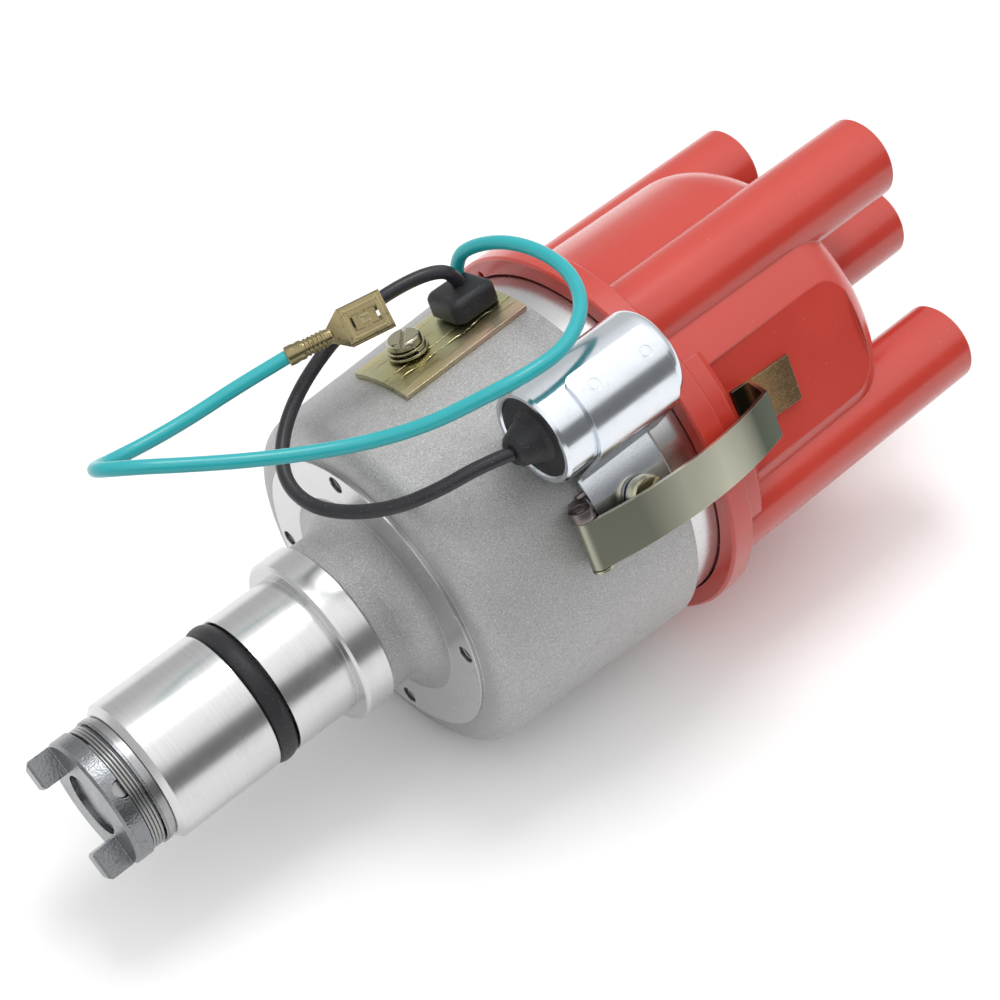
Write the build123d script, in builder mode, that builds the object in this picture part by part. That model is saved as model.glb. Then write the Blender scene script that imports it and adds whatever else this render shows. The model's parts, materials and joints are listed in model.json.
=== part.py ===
from build123d import *
import os
from math import asin, cos, degrees, pi, radians, sin, tan

# Ignition distributor for a four-cylinder engine, millimetres.
# +Z runs up the shaft to the cap, and Z = 0 is where the shank's full diameter starts,
# just above its lower chamfer.
# Angles are measured about +Z from +X, where the first plug-lead tower stands.
os.makedirs("parts", exist_ok=True)

# Shank, shoulder and neck of the housing
shank_radius = 13.5
shank_length = 36.9
shank_chamfer = 1.2
groove_start = 19.8
groove_width = 4.4
groove_depth = 1.9
oring_stand_out = 0.35
shoulder_radius = 16.3
shoulder_length = 5.8
neck_radius = 15.4
neck_flare = 5.0
edge_break = 0.5

# Bowl
ring_z = 52.2
ring_radius = 28.0
ring_height = 0.9
ring_hole_circle = 25.5
ring_hole_radius = 1.65
ring_hole_count = 4
ring_hole_angle = 65.6
bowl_corner = 4.4
bowl_foot_radius = 34.2
bowl_top_radius = 36.2
band_z = 96.6
band_radius = 34.5
bowl_height = 107.0
floor_thickness = 5.4
bowl_wall = 2.5
ledge_width = 1.5
plate_ledge_z = 73.0

# Shaft, bushes and drive dog
shaft_radius = 6.0
shaft_end_z = -8.6
running_clearance = 0.04
bush_wall = 1.6
bush_length = 15.0
bush_inset = 0.8
spigot_radius = 4.0
washer_thickness = 0.75
washer_gap = 0.06
dog_radius = 12.3
dog_height = 6.6
tang_height = 4.7
tang_width = 4.2
tang_offset = 2.6
tang_gap = 13.0
dog_angle = -64.0
dog_pin_radius = 1.7
dog_pin_drop = 3.4
wire_turns = 4
wire_radius = 0.36
wire_groove_depth = 1.0
wire_groove_top = 0.4

# Centrifugal advance
advance_plate_thickness = 1.6
advance_plate_radius = 24.0
advance_hub_radius = 10.0
plate_slot_centres = 12.0
plate_slot_width = 8.0
thrust_washer_thickness = 0.9
weight_thickness = 4.0
weight_inner_radius = 10.6
weight_outer_radius = 22.4
weight_start_angle = -13.0
weight_end_angle = 138.0
weight_corner = 1.2
weight_pivot_circle = 16.0
weight_pivot_radius = 2.0
weight_gap = 0.35
drive_pin_angle = 100.0
drive_pin_radius = 1.5
slot_clearance = 0.35
slot_travel = 5.0
yoke_thickness = 1.6
yoke_disc_radius = 14.6
yoke_arm_width = 8.4
yoke_arm_length = 12.0
yoke_rim = 2.0
spring_post_radius = 1.1
spring_post_circle = 22.0
spring_post_angle = 153.0
yoke_post_circle = 12.2
yoke_post_angle = 76.0
spring_coil_radius = 1.7
spring_wire_radius = 0.34
spring_turns = 14

# Cam
cam_sleeve_radius = 7.3
cam_base_radius = 8.5
cam_lift = 0.5
cam_lobe_width = 5.2
cam_lobe_height = 9.0
cam_lobe_z = 76.0
cam_lobe_count = 4
cam_spigot_radius = 6.5
cam_height_z = 95.0
cam_cup_radius = 5.0
cam_cup_depth = 2.8
cam_notch_width = 2.4
clip_ring_thickness = 0.7

# Contact breaker
breaker_plate_thickness = 1.4
breaker_plate_hole = 11.5
breaker_clearance = 0.3
plate_screw_circle = 28.0
plate_screw_angle = 62.0
plate_screw_radius = 1.6
boss_radius = 2.9
boss_height = 4.6
pivot_x = -17.0
pivot_y = 13.4
pivot_radius = 2.0
pivot_height = 9.6
arm_eye_radius = 3.6
arm_height = 4.0
arm_lift = 4.0
arm_thickness = 1.2
arm_tip_x = 15.5
block_width = 4.0
block_clearance = 0.12
contact_radius = 1.9
contact_thickness = 1.1
contact_gap = 0.05
bracket_thickness = 1.2
bracket_foot_length = 13.0
bracket_foot_width = 10.0
relief_circle = 22.0
relief_angle = -100.0
relief_length = 10.0
relief_width = 6.0
contact_screw_offset = 6.0
contact_screw_radius = 1.6
contact_head_radius = 3.1
contact_head_height = 1.8
leaf_thickness = 0.3

# Rotor arm
rotor_clearance = 0.05
rotor_bottom_z = 87.6
rotor_hub_radius = 10.4
rotor_hub_drop = 7.0
rotor_neck_radius = 8.0
rotor_arm_rise = 5.0
rotor_arm_thickness = 8.0
rotor_arm_width = 13.0
rotor_spark_gap = 0.6
rotor_tail = 11.5
rotor_contact_thickness = 1.2
rotor_contact_width = 6.4
rotor_tip_thickness = 2.0
rotor_tip_drop = 3.0
rotor_angle = 25.0

# Cap
cap_overlap = 3.5
cap_fit_clearance = 0.35
cap_skirt = 3.45
cap_flange_height = 5.2
cap_body_radius = 31.5
cap_body_height = 48.5
cap_shoulder = 12.0
cap_wall = 5.3
cap_roof = 5.0
cap_crown = 1.2
tower_inset = 3.15
tower_radius = 8.1
tower_rise = 16.1
tower_count = 4
centre_tower_radius = 7.8
centre_tower_rise = 28.5
tower_chamfer = 0.5
socket_radius = 4.7
socket_depth = 21.6
terminal_radius = 2.5
terminal_inset = 1.45
terminal_overhang = 0.4
centre_terminal_length = 5.0
ledge_height = 5.8
ledge_inset = 1.9
ledge_half_angle = 27.0
facet_cut = 2.2
facet_half_width = 11.7
facet_drop = 6.5
brush_radius = 2.35
brush_length = 12.5
brush_clearance = 0.06
brush_gap = 0.15
brush_holder_radius = 5.0
brush_travel = 3.0
cap_lug_width = 5.0
cap_lug_depth = 2.2
cap_lug_angle = -75.0
vent_radius = 0.9
vent_angle = -57.5
vent_depth = 3.0

# Spring clips
clip_angle = 49.5
clip_shift = -2.6
clip_lean = 3.0
clip_width = 8.9
clip_thickness = 0.7
clip_pin_z = 76.0
clip_stand_off = 2.95
clip_pin_radius = 1.1
clip_bow_clearance = 4.1
clip_bow_z = 94.5
clip_fold_overlap = 0.5
clip_fold_rise = 4.7
tongue_overlap = 1.6
tongue_rise = 12.3
tongue_gap = 0.05
tongue_hole_radius = 1.0
tongue_hole_height = 4.6
knuckle_width = 2.0
knuckle_wall = 1.1
knuckle_gap = 0.25
knuckle_recess = 0.9
knuckle_arm_height = 3.4
pin_head_thickness = 0.45
bracket_half_angle = 15.5
bracket_plate_thickness = 1.0
bracket_top_z = 95.5
fixing_screw_z = 88.6
fixing_screw_angle = 43.5
fixing_screw_radius = 1.9
fixing_head_radius = 3.5
fixing_head_height = 1.9
fixing_washer_thickness = 0.8

# Condenser
condenser_angle = 16.4
condenser_radius = 8.9
condenser_seat_gap = 0.15
condenser_start_z = 73.9
condenser_end_z = 101.2
condenser_end_round = 2.6
condenser_rim = 0.6
condenser_wall = 0.8
condenser_recess = 0.5
seal_thickness = 3.0
seal_nose_length = 4.4
seal_nose_radius = 4.2
seal_tip_radius = 2.3
strap_thickness = 0.75
strap_bottom_z = 80.2
strap_top_z = 98.2
strap_start_angle = -22.0
strap_corner = 1.6
strap_foot_end_angle = 50.0
weld_radius = 1.15
weld_width = 0.35
weld_depth = 0.12

# Window plate, its screw and the grommet
window_angle = -30.5
window_half_angle = 12.5
window_plate_bottom_z = 68.3
window_plate_top_z = 96.0
window_plate_thickness = 1.0
window_width = 9.0
window_bottom_z = 84.4
window_top_z = 94.4
window_screw_z = 76.3
window_screw_angle = -32.5
window_screw_radius = 2.0
window_head_radius = 3.1
window_head_height = 1.5
window_washer_thickness = 0.5
window_washer_radius = 3.8
spring_washer_thickness = 1.0
spring_washer_radius = 3.5
grommet_angle = -32.3
grommet_width = 9.6
grommet_height = 9.6
grommet_depth = 4.4
grommet_neck_depth = 3.4
grommet_chamfer = 0.9
grommet_corner = 1.9
seat_gap = 0.05

# Leads
lead_radius = 1.25
blade_width = 7.0
blade_length = 8.0
blade_height = 2.6
blade_wall = 0.5
crimp_length = 8.0
crimp_radius = 1.75
crimp_taper = 2.6


def radial_plane(angle):
    """The plane through the shaft's axis at an angle: local X points outwards and local Y up."""
    a = radians(angle)
    return Plane(origin=(0, 0, 0), x_dir=(cos(a), sin(a), 0), z_dir=(sin(a), -cos(a), 0))


def polar(radius, angle):
    return radius * cos(radians(angle)), radius * sin(radians(angle))


def outward_plane(angle, reach, height):
    """A plane that faces outwards at a height: local X runs round the part and local Y up."""
    a = radians(angle)
    x, y = polar(reach, angle)
    return Plane(origin=(x, y, height), x_dir=(-sin(a), cos(a), 0), z_dir=(cos(a), sin(a), 0))


bowl_foot_z = ring_z + ring_height
floor_z = ring_z + ring_height + floor_thickness


def bowl_radius(height):
    """The outside radius of the cast bowl, which widens upwards for its mould draft."""
    share = (height - bowl_foot_z) / (band_z - bowl_foot_z)
    return bowl_foot_radius + (bowl_top_radius - bowl_foot_radius) * share


cap_flange_radius = band_radius + cap_fit_clearance + cap_skirt
cap_bottom_z = bowl_height - cap_overlap
cap_top_z = cap_bottom_z + cap_flange_height
cap_body_top_z = bowl_height + cap_body_height
tower_height_z = cap_body_top_z + tower_rise
centre_tower_height_z = cap_body_top_z + centre_tower_rise
facet_top_z = cap_body_top_z - facet_drop
cap_cavity_radius = cap_body_radius - cap_wall
tower_circle = cap_body_radius - tower_inset
terminal_circle = tower_circle - terminal_inset
facet_distance = cap_body_radius - facet_cut
rotor_reach = terminal_circle - terminal_radius - rotor_spark_gap - rotor_tip_thickness
rotor_arm_z = bowl_height + rotor_arm_rise
rotor_hub_top_z = rotor_arm_z - rotor_hub_drop
clip_fold_z = cap_top_z + ledge_height + clip_fold_rise
tongue_bottom_z = clip_fold_z - tongue_overlap
tongue_top_z = clip_fold_z + tongue_rise
ledge_radius = cap_flange_radius - ledge_inset
clip_pin_reach = bowl_radius(clip_pin_z) + clip_stand_off
clip_bow_reach = cap_flange_radius + clip_bow_clearance
clip_fold_reach = ledge_radius + clip_fold_overlap


def clip_plane(turn):
    """The plane of a clip's profile: local X points outwards, and local Y up the leaning strip."""
    a = radians(clip_angle + turn)
    lean = radians(clip_lean)
    side = Vector(-sin(a), cos(a), 0)
    up = Vector(0, 0, cos(lean)) + side * sin(lean)
    pin_point = side * clip_shift + Vector(0, 0, clip_pin_z)
    outward = Vector(cos(a), sin(a), 0)
    return Plane(origin=pin_point - up * clip_pin_z, x_dir=outward, z_dir=outward.cross(up))


def save(part, label):
    part.label = label
    export_step(part, f"parts/{label}.step")


def wrapped_strip(angle, half_angle, bottom, top, gap, thickness):
    """A thin plate rolled to lie on the bowl, between two heights."""
    inner = [(bowl_radius(z) + gap, z) for z in (bottom, top)]
    outer = [(bowl_radius(z) + gap + thickness, z) for z in (top, bottom)]
    with BuildPart(mode=Mode.PRIVATE) as strip:
        with BuildSketch(radial_plane(angle - half_angle)):
            with BuildLine():
                Polyline(*inner, *outer, close=True)
            make_face()
        revolve(axis=Axis.Z, revolution_arc=2 * half_angle)
    return strip.part


# Housing: shank, neck, machined ring and bowl in one casting
bore_radius = shaft_radius + running_clearance + bush_wall
bore_top = bowl_radius(bowl_foot_z)
inner_radius = band_radius - bowl_wall
lower_inner_radius = inner_radius - ledge_width
groove_bottom = shank_radius - groove_depth

with BuildPart() as housing:
    with BuildSketch(Plane.XZ):
        with BuildLine():
            Polyline(
                (bore_radius, -shank_chamfer),
                (shank_radius - shank_chamfer, -shank_chamfer),
                (shank_radius, 0),
                (shank_radius, groove_start),
                (groove_bottom, groove_start),
                (groove_bottom, groove_start + groove_width),
                (shank_radius, groove_start + groove_width),
                (shank_radius, shank_length),
                (shoulder_radius - edge_break, shank_length),
                (shoulder_radius, shank_length + edge_break),
                (shoulder_radius, shank_length + shoulder_length),
                (neck_radius, shank_length + shoulder_length + edge_break),
                (neck_radius, ring_z - neck_flare),
            )
            RadiusArc((neck_radius, ring_z - neck_flare), (neck_radius + neck_flare, ring_z), neck_flare)
            Polyline(
                (neck_radius + neck_flare, ring_z),
                (ring_radius, ring_z),
                (ring_radius, bowl_foot_z),
                (bowl_foot_radius - bowl_corner, bowl_foot_z),
            )
            RadiusArc(
                (bowl_foot_radius - bowl_corner, bowl_foot_z),
                (bowl_radius(bowl_foot_z + bowl_corner), bowl_foot_z + bowl_corner),
                -bowl_corner,
            )
            Polyline(
                (bowl_radius(bowl_foot_z + bowl_corner), bowl_foot_z + bowl_corner),
                (bowl_top_radius, band_z),
                (band_radius, band_z),
                (band_radius, bowl_height - edge_break),
                (band_radius - edge_break, bowl_height),
                (inner_radius, bowl_height),
                (inner_radius, plate_ledge_z),
                (lower_inner_radius, plate_ledge_z),
                (lower_inner_radius, floor_z),
                (bore_radius, floor_z),
                (bore_radius, -shank_chamfer),
            )
        make_face()
    revolve(axis=Axis.Z)
    # Bosses under the breaker plate
    with BuildSketch(Plane.XY.offset(plate_ledge_z - boss_height)):
        with PolarLocations(plate_screw_circle, 2, start_angle=plate_screw_angle):
            Circle(boss_radius)
            with Locations((boss_radius, 0)):
                Rectangle(2 * boss_radius, 2 * boss_radius)
        Circle(lower_inner_radius + bowl_wall / 2, mode=Mode.INTERSECT)
    extrude(amount=boss_height)
    with Locations(Plane.XY.offset(plate_ledge_z)):
        with PolarLocations(plate_screw_circle, 2, start_angle=plate_screw_angle):
            Hole(plate_screw_radius, depth=boss_height - 1)
    # Drain holes in the machined ring
    with BuildSketch(Plane.XY.offset(ring_z)):
        with PolarLocations(ring_hole_circle, ring_hole_count, start_angle=ring_hole_angle):
            Circle(ring_hole_radius)
    extrude(amount=floor_z - ring_z, mode=Mode.SUBTRACT)
    # Lead window under the wrapped plate
    with BuildSketch(outward_plane(grommet_angle, inner_radius - bowl_wall, window_bottom_z)):
        with Locations((0, (window_top_z - window_bottom_z) / 2)):
            Rectangle(window_width, window_top_z - window_bottom_z)
    extrude(amount=3 * bowl_wall + ledge_width, mode=Mode.SUBTRACT)
    # Tapped holes for the plate, condenser and clip screws
    for angle, height, radius in (
        (window_screw_angle, window_screw_z, window_screw_radius),
        (fixing_screw_angle, fixing_screw_z, fixing_screw_radius),
        (fixing_screw_angle + 180, fixing_screw_z, fixing_screw_radius),
    ):
        with BuildSketch(outward_plane(angle, inner_radius - bowl_wall, height)):
            Circle(radius)
        extrude(amount=3 * bowl_wall + ledge_width, mode=Mode.SUBTRACT)
    # Notch in the rim that places the cap
    with BuildSketch(outward_plane(cap_lug_angle, inner_radius - 1, bowl_height)):
        Rectangle(cap_lug_width + 2 * cap_fit_clearance, 2 * (cap_lug_depth + cap_fit_clearance))
    extrude(amount=bowl_wall + 2, mode=Mode.SUBTRACT)
save(housing.part, "housing")

# O-ring in the shank's groove
oring_section = (groove_depth + oring_stand_out) / 2
with BuildPart() as shank_oring:
    with BuildSketch(Plane.XZ):
        with Locations((groove_bottom + oring_section, groove_start + groove_width / 2)):
            Ellipse(oring_section, groove_width / 2 - edge_break / 2)
    revolve(axis=Axis.Z)
save(shank_oring.part, "shank_oring")

# Bushes in the shank
for label, start in (
    ("lower_bush", bush_inset),
    ("upper_bush", floor_z - bush_length),
):
    with BuildPart() as bush:
        with BuildSketch(Plane.XY.offset(start)):
            Circle(bore_radius)
            Circle(shaft_radius + running_clearance, mode=Mode.SUBTRACT)
        extrude(amount=bush_length)
        chamfer(bush.edges().filter_by(GeomType.CIRCLE), 0.3)
    save(bush.part, label)

# Drive shaft: full size up to the cam's seat, a spigot above it
advance_plate_z = floor_z + thrust_washer_thickness + 2 * washer_gap
weight_z = advance_plate_z + advance_plate_thickness + weight_gap
yoke_z = weight_z + weight_thickness + weight_gap
cam_cup_z = cam_height_z - cam_cup_depth
shaft_top_z = cam_cup_z + 2 * clip_ring_thickness
dog_top_z = -shank_chamfer - 2 * washer_thickness - 3 * washer_gap
dog_pin_z = dog_top_z - dog_pin_drop

with BuildPart() as drive_shaft:
    with BuildSketch(Plane.XY.offset(shaft_end_z)):
        Circle(shaft_radius)
    extrude(amount=yoke_z - washer_gap - shaft_end_z)
    with BuildSketch(Plane.XY.offset(yoke_z - washer_gap)):
        Circle(spigot_radius)
    extrude(amount=shaft_top_z - yoke_z + washer_gap)
    chamfer(drive_shaft.faces().sort_by(Axis.Z)[0].edges(), edge_break)
    # Groove for the clip ring that holds the cam down
    with BuildSketch(Plane.XY.offset(cam_cup_z + washer_gap)):
        Circle(spigot_radius)
        Circle(spigot_radius - 0.5, mode=Mode.SUBTRACT)
    extrude(amount=clip_ring_thickness, mode=Mode.SUBTRACT)
    # Cross hole for the dog's pin
    with BuildSketch(Plane(origin=(0, 0, dog_pin_z), x_dir=(0, 0, 1), z_dir=radial_plane(dog_angle).z_dir)):
        Circle(dog_pin_radius)
    extrude(amount=shaft_radius + 1, both=True, mode=Mode.SUBTRACT)
save(drive_shaft.part, "drive_shaft")

# Drive dog: a collar with two tangs set off the centre line
groove_radius = dog_radius - wire_groove_depth
wire_groove_height = 2 * wire_radius * wire_turns
wire_groove_z = dog_top_z - wire_groove_top - wire_groove_height

with BuildPart() as drive_dog:
    with BuildSketch(Plane.XZ):
        with BuildLine():
            Polyline(
                (shaft_radius, dog_top_z - dog_height),
                (dog_radius - edge_break, dog_top_z - dog_height),
                (dog_radius, dog_top_z - dog_height + edge_break),
                (dog_radius, wire_groove_z),
                (groove_radius, wire_groove_z),
                (groove_radius, wire_groove_z + wire_groove_height),
                (dog_radius, wire_groove_z + wire_groove_height),
                (dog_radius, dog_top_z),
                (shaft_radius, dog_top_z),
                close=True,
            )
        make_face()
    revolve(axis=Axis.Z)
    dog_face = Plane(
        origin=(0, 0, dog_top_z - dog_height), x_dir=radial_plane(dog_angle).x_dir, z_dir=(0, 0, -1)
    )
    with BuildSketch(dog_face):
        with Locations((0, tang_offset)):
            Rectangle(2 * dog_radius, tang_width)
        Circle(dog_radius - edge_break / 2, mode=Mode.INTERSECT)
        Rectangle(tang_gap, 4 * dog_radius, mode=Mode.SUBTRACT)
    extrude(amount=tang_height)
    tang_ends = drive_dog.faces().sort_by(Axis.Z)[0:2]
    chamfer(tang_ends.edges(), edge_break)
    with BuildSketch(Plane(origin=(0, 0, dog_pin_z), x_dir=(0, 0, 1), z_dir=radial_plane(dog_angle).z_dir)):
        Circle(dog_pin_radius)
    extrude(amount=dog_radius + 1, both=True, mode=Mode.SUBTRACT)
save(drive_dog.part, "drive_dog")

with BuildPart() as dog_pin:
    with BuildSketch(Plane(origin=(0, 0, dog_pin_z), x_dir=(0, 0, 1), z_dir=radial_plane(dog_angle).z_dir)):
        Circle(dog_pin_radius)
    extrude(amount=groove_radius - 2 * wire_radius, both=True)
    chamfer(dog_pin.edges().filter_by(GeomType.CIRCLE), 0.3)
save(dog_pin.part, "dog_pin")

# Wire spring wound round the dog over the pin's ends, its turns lying on each other
with BuildPart() as dog_retaining_spring:
    with BuildSketch(Plane.XZ):
        with Locations((groove_radius + wire_radius + seat_gap, wire_groove_z + wire_groove_height / 2)):
            Rectangle(wire_radius, wire_groove_height - 2 * wire_radius)
        with Locations((groove_radius + wire_radius + seat_gap, wire_groove_z + wire_groove_height / 2)):
            with GridLocations(0, 2 * wire_radius, 1, wire_turns):
                Circle(wire_radius - seat_gap / 2)
    revolve(axis=Axis.Z)
save(dog_retaining_spring.part, "dog_retaining_spring")

# Two shims between the dog and the shank
with BuildPart() as lower_thrust_washers:
    for place in range(2):
        start = dog_top_z + washer_gap + place * (washer_thickness + washer_gap)
        with BuildSketch(Plane.XY.offset(start)):
            Circle(dog_radius - 0.4 * place)
            Circle(shaft_radius + running_clearance, mode=Mode.SUBTRACT)
        extrude(amount=washer_thickness)
save(lower_thrust_washers.part, "lower_thrust_washers")

with BuildPart() as upper_thrust_washer:
    with BuildSketch(Plane.XY.offset(floor_z + washer_gap)):
        Circle(advance_hub_radius + 2)
        Circle(shaft_radius + running_clearance, mode=Mode.SUBTRACT)
    extrude(amount=thrust_washer_thickness)
save(upper_thrust_washer.part, "upper_thrust_washer")

# Advance plate on the shaft, with its weight pivots and spring posts
yoke_top_z = yoke_z + yoke_thickness
spring_z = yoke_top_z + spring_coil_radius + 0.3

with BuildPart() as advance_plate:
    with BuildSketch(Plane.XY.offset(advance_plate_z)):
        Circle(advance_plate_radius)
        Circle(shaft_radius, mode=Mode.SUBTRACT)
        with PolarLocations(weight_pivot_circle, 2):
            Circle(weight_pivot_radius - 0.5, mode=Mode.SUBTRACT)
        with PolarLocations(advance_plate_radius, 2, start_angle=spring_post_angle - 90):
            SlotCenterToCenter(plate_slot_centres, plate_slot_width, mode=Mode.SUBTRACT)
    extrude(amount=advance_plate_thickness)
    with BuildSketch(Plane.XY.offset(advance_plate_z)):
        Circle(weight_inner_radius - 1)
        Circle(shaft_radius, mode=Mode.SUBTRACT)
    extrude(amount=weight_z + weight_thickness / 2 - advance_plate_z)
    with BuildSketch(Plane.XY.offset(advance_plate_z + advance_plate_thickness)):
        with PolarLocations(spring_post_circle, 2, start_angle=spring_post_angle):
            Circle(spring_post_radius)
    extrude(amount=spring_z + spring_coil_radius / 2 - advance_plate_z - advance_plate_thickness)
save(advance_plate.part, "advance_plate")

with BuildPart() as weight_pivots:
    with BuildSketch(Plane.XY.offset(advance_plate_z)):
        with PolarLocations(weight_pivot_circle, 2):
            Circle(weight_pivot_radius - 0.5)
    extrude(amount=advance_plate_thickness)
    with BuildSketch(Plane.XY.offset(advance_plate_z + advance_plate_thickness)):
        with PolarLocations(weight_pivot_circle, 2):
            Circle(weight_pivot_radius)
    extrude(amount=weight_gap + weight_thickness)
save(weight_pivots.part, "weight_pivots")

# Two weights, each a curved bar that swings out on its pivot and carries a drive pin
for label, turn in (("advance_weight_a", 0), ("advance_weight_b", 180)):
    span = weight_end_angle - weight_start_angle
    with BuildPart() as weight:
        with BuildSketch(Plane.XY.offset(weight_z)):
            with BuildLine():
                outer = CenterArc((0, 0), weight_outer_radius, turn + weight_start_angle, span)
                inner = CenterArc((0, 0), weight_inner_radius, turn + weight_start_angle, span)
                Line(outer @ 0, inner @ 0)
                Line(outer @ 1, inner @ 1)
            make_face()
            with PolarLocations(weight_pivot_circle, 1, start_angle=turn):
                Circle(weight_pivot_radius + running_clearance, mode=Mode.SUBTRACT)
        extrude(amount=weight_thickness)
        fillet(weight.edges().filter_by(Axis.Z).filter_by(GeomType.LINE), weight_corner)
        with BuildSketch(Plane.XY.offset(weight_z + weight_thickness)):
            with PolarLocations(weight_pivot_circle, 1, start_angle=turn + drive_pin_angle):
                Circle(drive_pin_radius)
        extrude(amount=weight_gap + yoke_thickness)
    save(weight.part, label)

# Advance springs, close-wound between a plate post and a yoke post
for label, turn in (("advance_spring_a", 0), ("advance_spring_b", 180)):
    start = Vector(*polar(spring_post_circle, spring_post_angle + turn), spring_z)
    finish = Vector(*polar(yoke_post_circle, yoke_post_angle + turn), spring_z)
    along = (finish - start).normalized()
    post_room = spring_post_radius + 2 * spring_wire_radius
    length = (finish - start).length - 2 * post_room
    pitch = length / spring_turns
    with BuildPart() as spring:
        side = Vector(0, 0, 1).cross(along)
        with BuildSketch(Plane(origin=start + along * post_room, x_dir=(0, 0, 1), z_dir=side)):
            with BuildLine():
                root = spring_coil_radius - spring_wire_radius
                profile = [(root, 0)]
                for coil in range(spring_turns):
                    profile.append((spring_coil_radius, (coil + 0.5) * pitch))
                    profile.append((root, (coil + 1) * pitch))
                hollow = root - spring_wire_radius
                Polyline(*profile, (hollow, length), (hollow, 0), close=True)
            make_face()
        revolve(axis=Axis(start, along))
    save(spring.part, label)

# Yoke plate staked on the cam's sleeve: the weights' drive pins slide in its two slots
cam_bore = spigot_radius + running_clearance
slot_half_width = drive_pin_radius + slot_clearance
slot_middle = weight_pivot_circle + slot_travel / 2 - drive_pin_radius / 2
yoke_arm_reach = slot_middle + slot_travel / 2 + slot_half_width + yoke_rim

with BuildPart() as cam_yoke:
    with BuildSketch(Plane.XY.offset(yoke_z)):
        Circle(yoke_disc_radius)
        with PolarLocations(yoke_arm_reach - yoke_arm_length / 2, 2, start_angle=drive_pin_angle):
            RectangleRounded(yoke_arm_length, yoke_arm_width, yoke_rim)
        Circle(cam_sleeve_radius - 1, mode=Mode.SUBTRACT)
        with PolarLocations(slot_middle, 2, start_angle=drive_pin_angle):
            SlotCenterToCenter(slot_travel, 2 * slot_half_width, mode=Mode.SUBTRACT)
    extrude(amount=yoke_thickness)
    with BuildSketch(Plane.XY.offset(yoke_top_z)):
        with PolarLocations(yoke_post_circle, 2, start_angle=yoke_post_angle):
            Circle(spring_post_radius)
    extrude(amount=spring_z + spring_coil_radius / 2 - yoke_top_z)
save(cam_yoke.part, "cam_yoke")

# Cam: sleeve, four lobes, and the spigot that carries the rotor
with BuildPart() as cam_sleeve:
    with BuildSketch(Plane.XY.offset(yoke_z)):
        Circle(cam_sleeve_radius - 1)
        Circle(cam_bore, mode=Mode.SUBTRACT)
    extrude(amount=yoke_thickness)
    with BuildSketch(Plane.XY.offset(yoke_top_z)):
        Circle(cam_sleeve_radius)
        Circle(cam_bore, mode=Mode.SUBTRACT)
    extrude(amount=cam_lobe_z - yoke_top_z)
    with BuildSketch(Plane.XY.offset(cam_lobe_z)) as lobes:
        Circle(cam_base_radius)
        lobe_circle = cam_base_radius + cam_lift - cam_lobe_width / 2
        with PolarLocations(lobe_circle, cam_lobe_count, start_angle=90 + 180 / cam_lobe_count):
            Circle(cam_lobe_width / 2)
        Circle(cam_bore, mode=Mode.SUBTRACT)
    extrude(amount=cam_lobe_height)
    with BuildSketch(Plane.XY.offset(cam_lobe_z + cam_lobe_height)):
        Circle(cam_spigot_radius)
        Circle(cam_bore, mode=Mode.SUBTRACT)
    extrude(amount=cam_height_z - cam_lobe_z - cam_lobe_height)
    with BuildSketch(Plane.XY.offset(cam_cup_z)):
        Circle(cam_cup_radius)
    extrude(amount=cam_cup_depth, mode=Mode.SUBTRACT)
    # Key notch that turns the rotor
    with BuildSketch(Plane.XY.offset(cam_height_z)):
        with PolarLocations(cam_spigot_radius, 1, start_angle=rotor_angle):
            Rectangle(2 * (cam_spigot_radius - cam_cup_radius) + 1, cam_notch_width)
    extrude(amount=-cam_cup_depth, mode=Mode.SUBTRACT)
save(cam_sleeve.part, "cam_sleeve")

with BuildPart() as cam_clip_ring:
    with BuildSketch(Plane.XY.offset(cam_cup_z + washer_gap)):
        Circle(cam_cup_radius - 0.1)
        Circle(spigot_radius - 0.45, mode=Mode.SUBTRACT)
        with Locations((0, cam_cup_radius)):
            Rectangle(2.5, 3.2, mode=Mode.SUBTRACT)
    extrude(amount=clip_ring_thickness)
save(cam_clip_ring.part, "cam_clip_ring")

with BuildPart() as oil_felt:
    with BuildSketch(Plane.XY.offset(shaft_top_z + washer_gap)):
        Circle(cam_cup_radius - running_clearance)
    extrude(amount=cam_height_z - shaft_top_z - washer_gap)
save(oil_felt.part, "oil_felt")

# Breaker plate across the bowl
breaker_top_z = plate_ledge_z + breaker_plate_thickness
with BuildPart() as breaker_plate:
    with BuildSketch(Plane.XY.offset(plate_ledge_z)):
        Circle(inner_radius - breaker_clearance)
        Circle(breaker_plate_hole, mode=Mode.SUBTRACT)
        with PolarLocations(plate_screw_circle, 2, start_angle=plate_screw_angle):
            Circle(plate_screw_radius + 0.2, mode=Mode.SUBTRACT)
        with PolarLocations(relief_circle, 1, start_angle=relief_angle):
            SlotCenterToCenter(relief_length, relief_width, mode=Mode.SUBTRACT)
        with Locations((pivot_x, pivot_y)):
            Circle(pivot_radius - 0.5, mode=Mode.SUBTRACT)
    extrude(amount=breaker_plate_thickness)
save(breaker_plate.part, "breaker_plate")

with BuildPart() as breaker_plate_screws:
    with BuildSketch(Plane.XY.offset(plate_ledge_z - boss_height + 1.5)):
        with PolarLocations(plate_screw_circle, 2, start_angle=plate_screw_angle):
            Circle(plate_screw_radius - running_clearance)
    extrude(amount=boss_height - 1.5 + breaker_plate_thickness)
    with BuildSketch(Plane.XY.offset(breaker_top_z)):
        with PolarLocations(plate_screw_circle, 2, start_angle=plate_screw_angle):
            Circle(1.8 * plate_screw_radius)
    extrude(amount=1.6)
    with BuildSketch(Plane.XY.offset(breaker_top_z + 1.6)):
        with PolarLocations(plate_screw_circle, 2, start_angle=plate_screw_angle):
            Rectangle(4 * plate_screw_radius, 0.8)
    extrude(amount=-0.8, mode=Mode.SUBTRACT)
save(breaker_plate_screws.part, "breaker_plate_screws")

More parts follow.
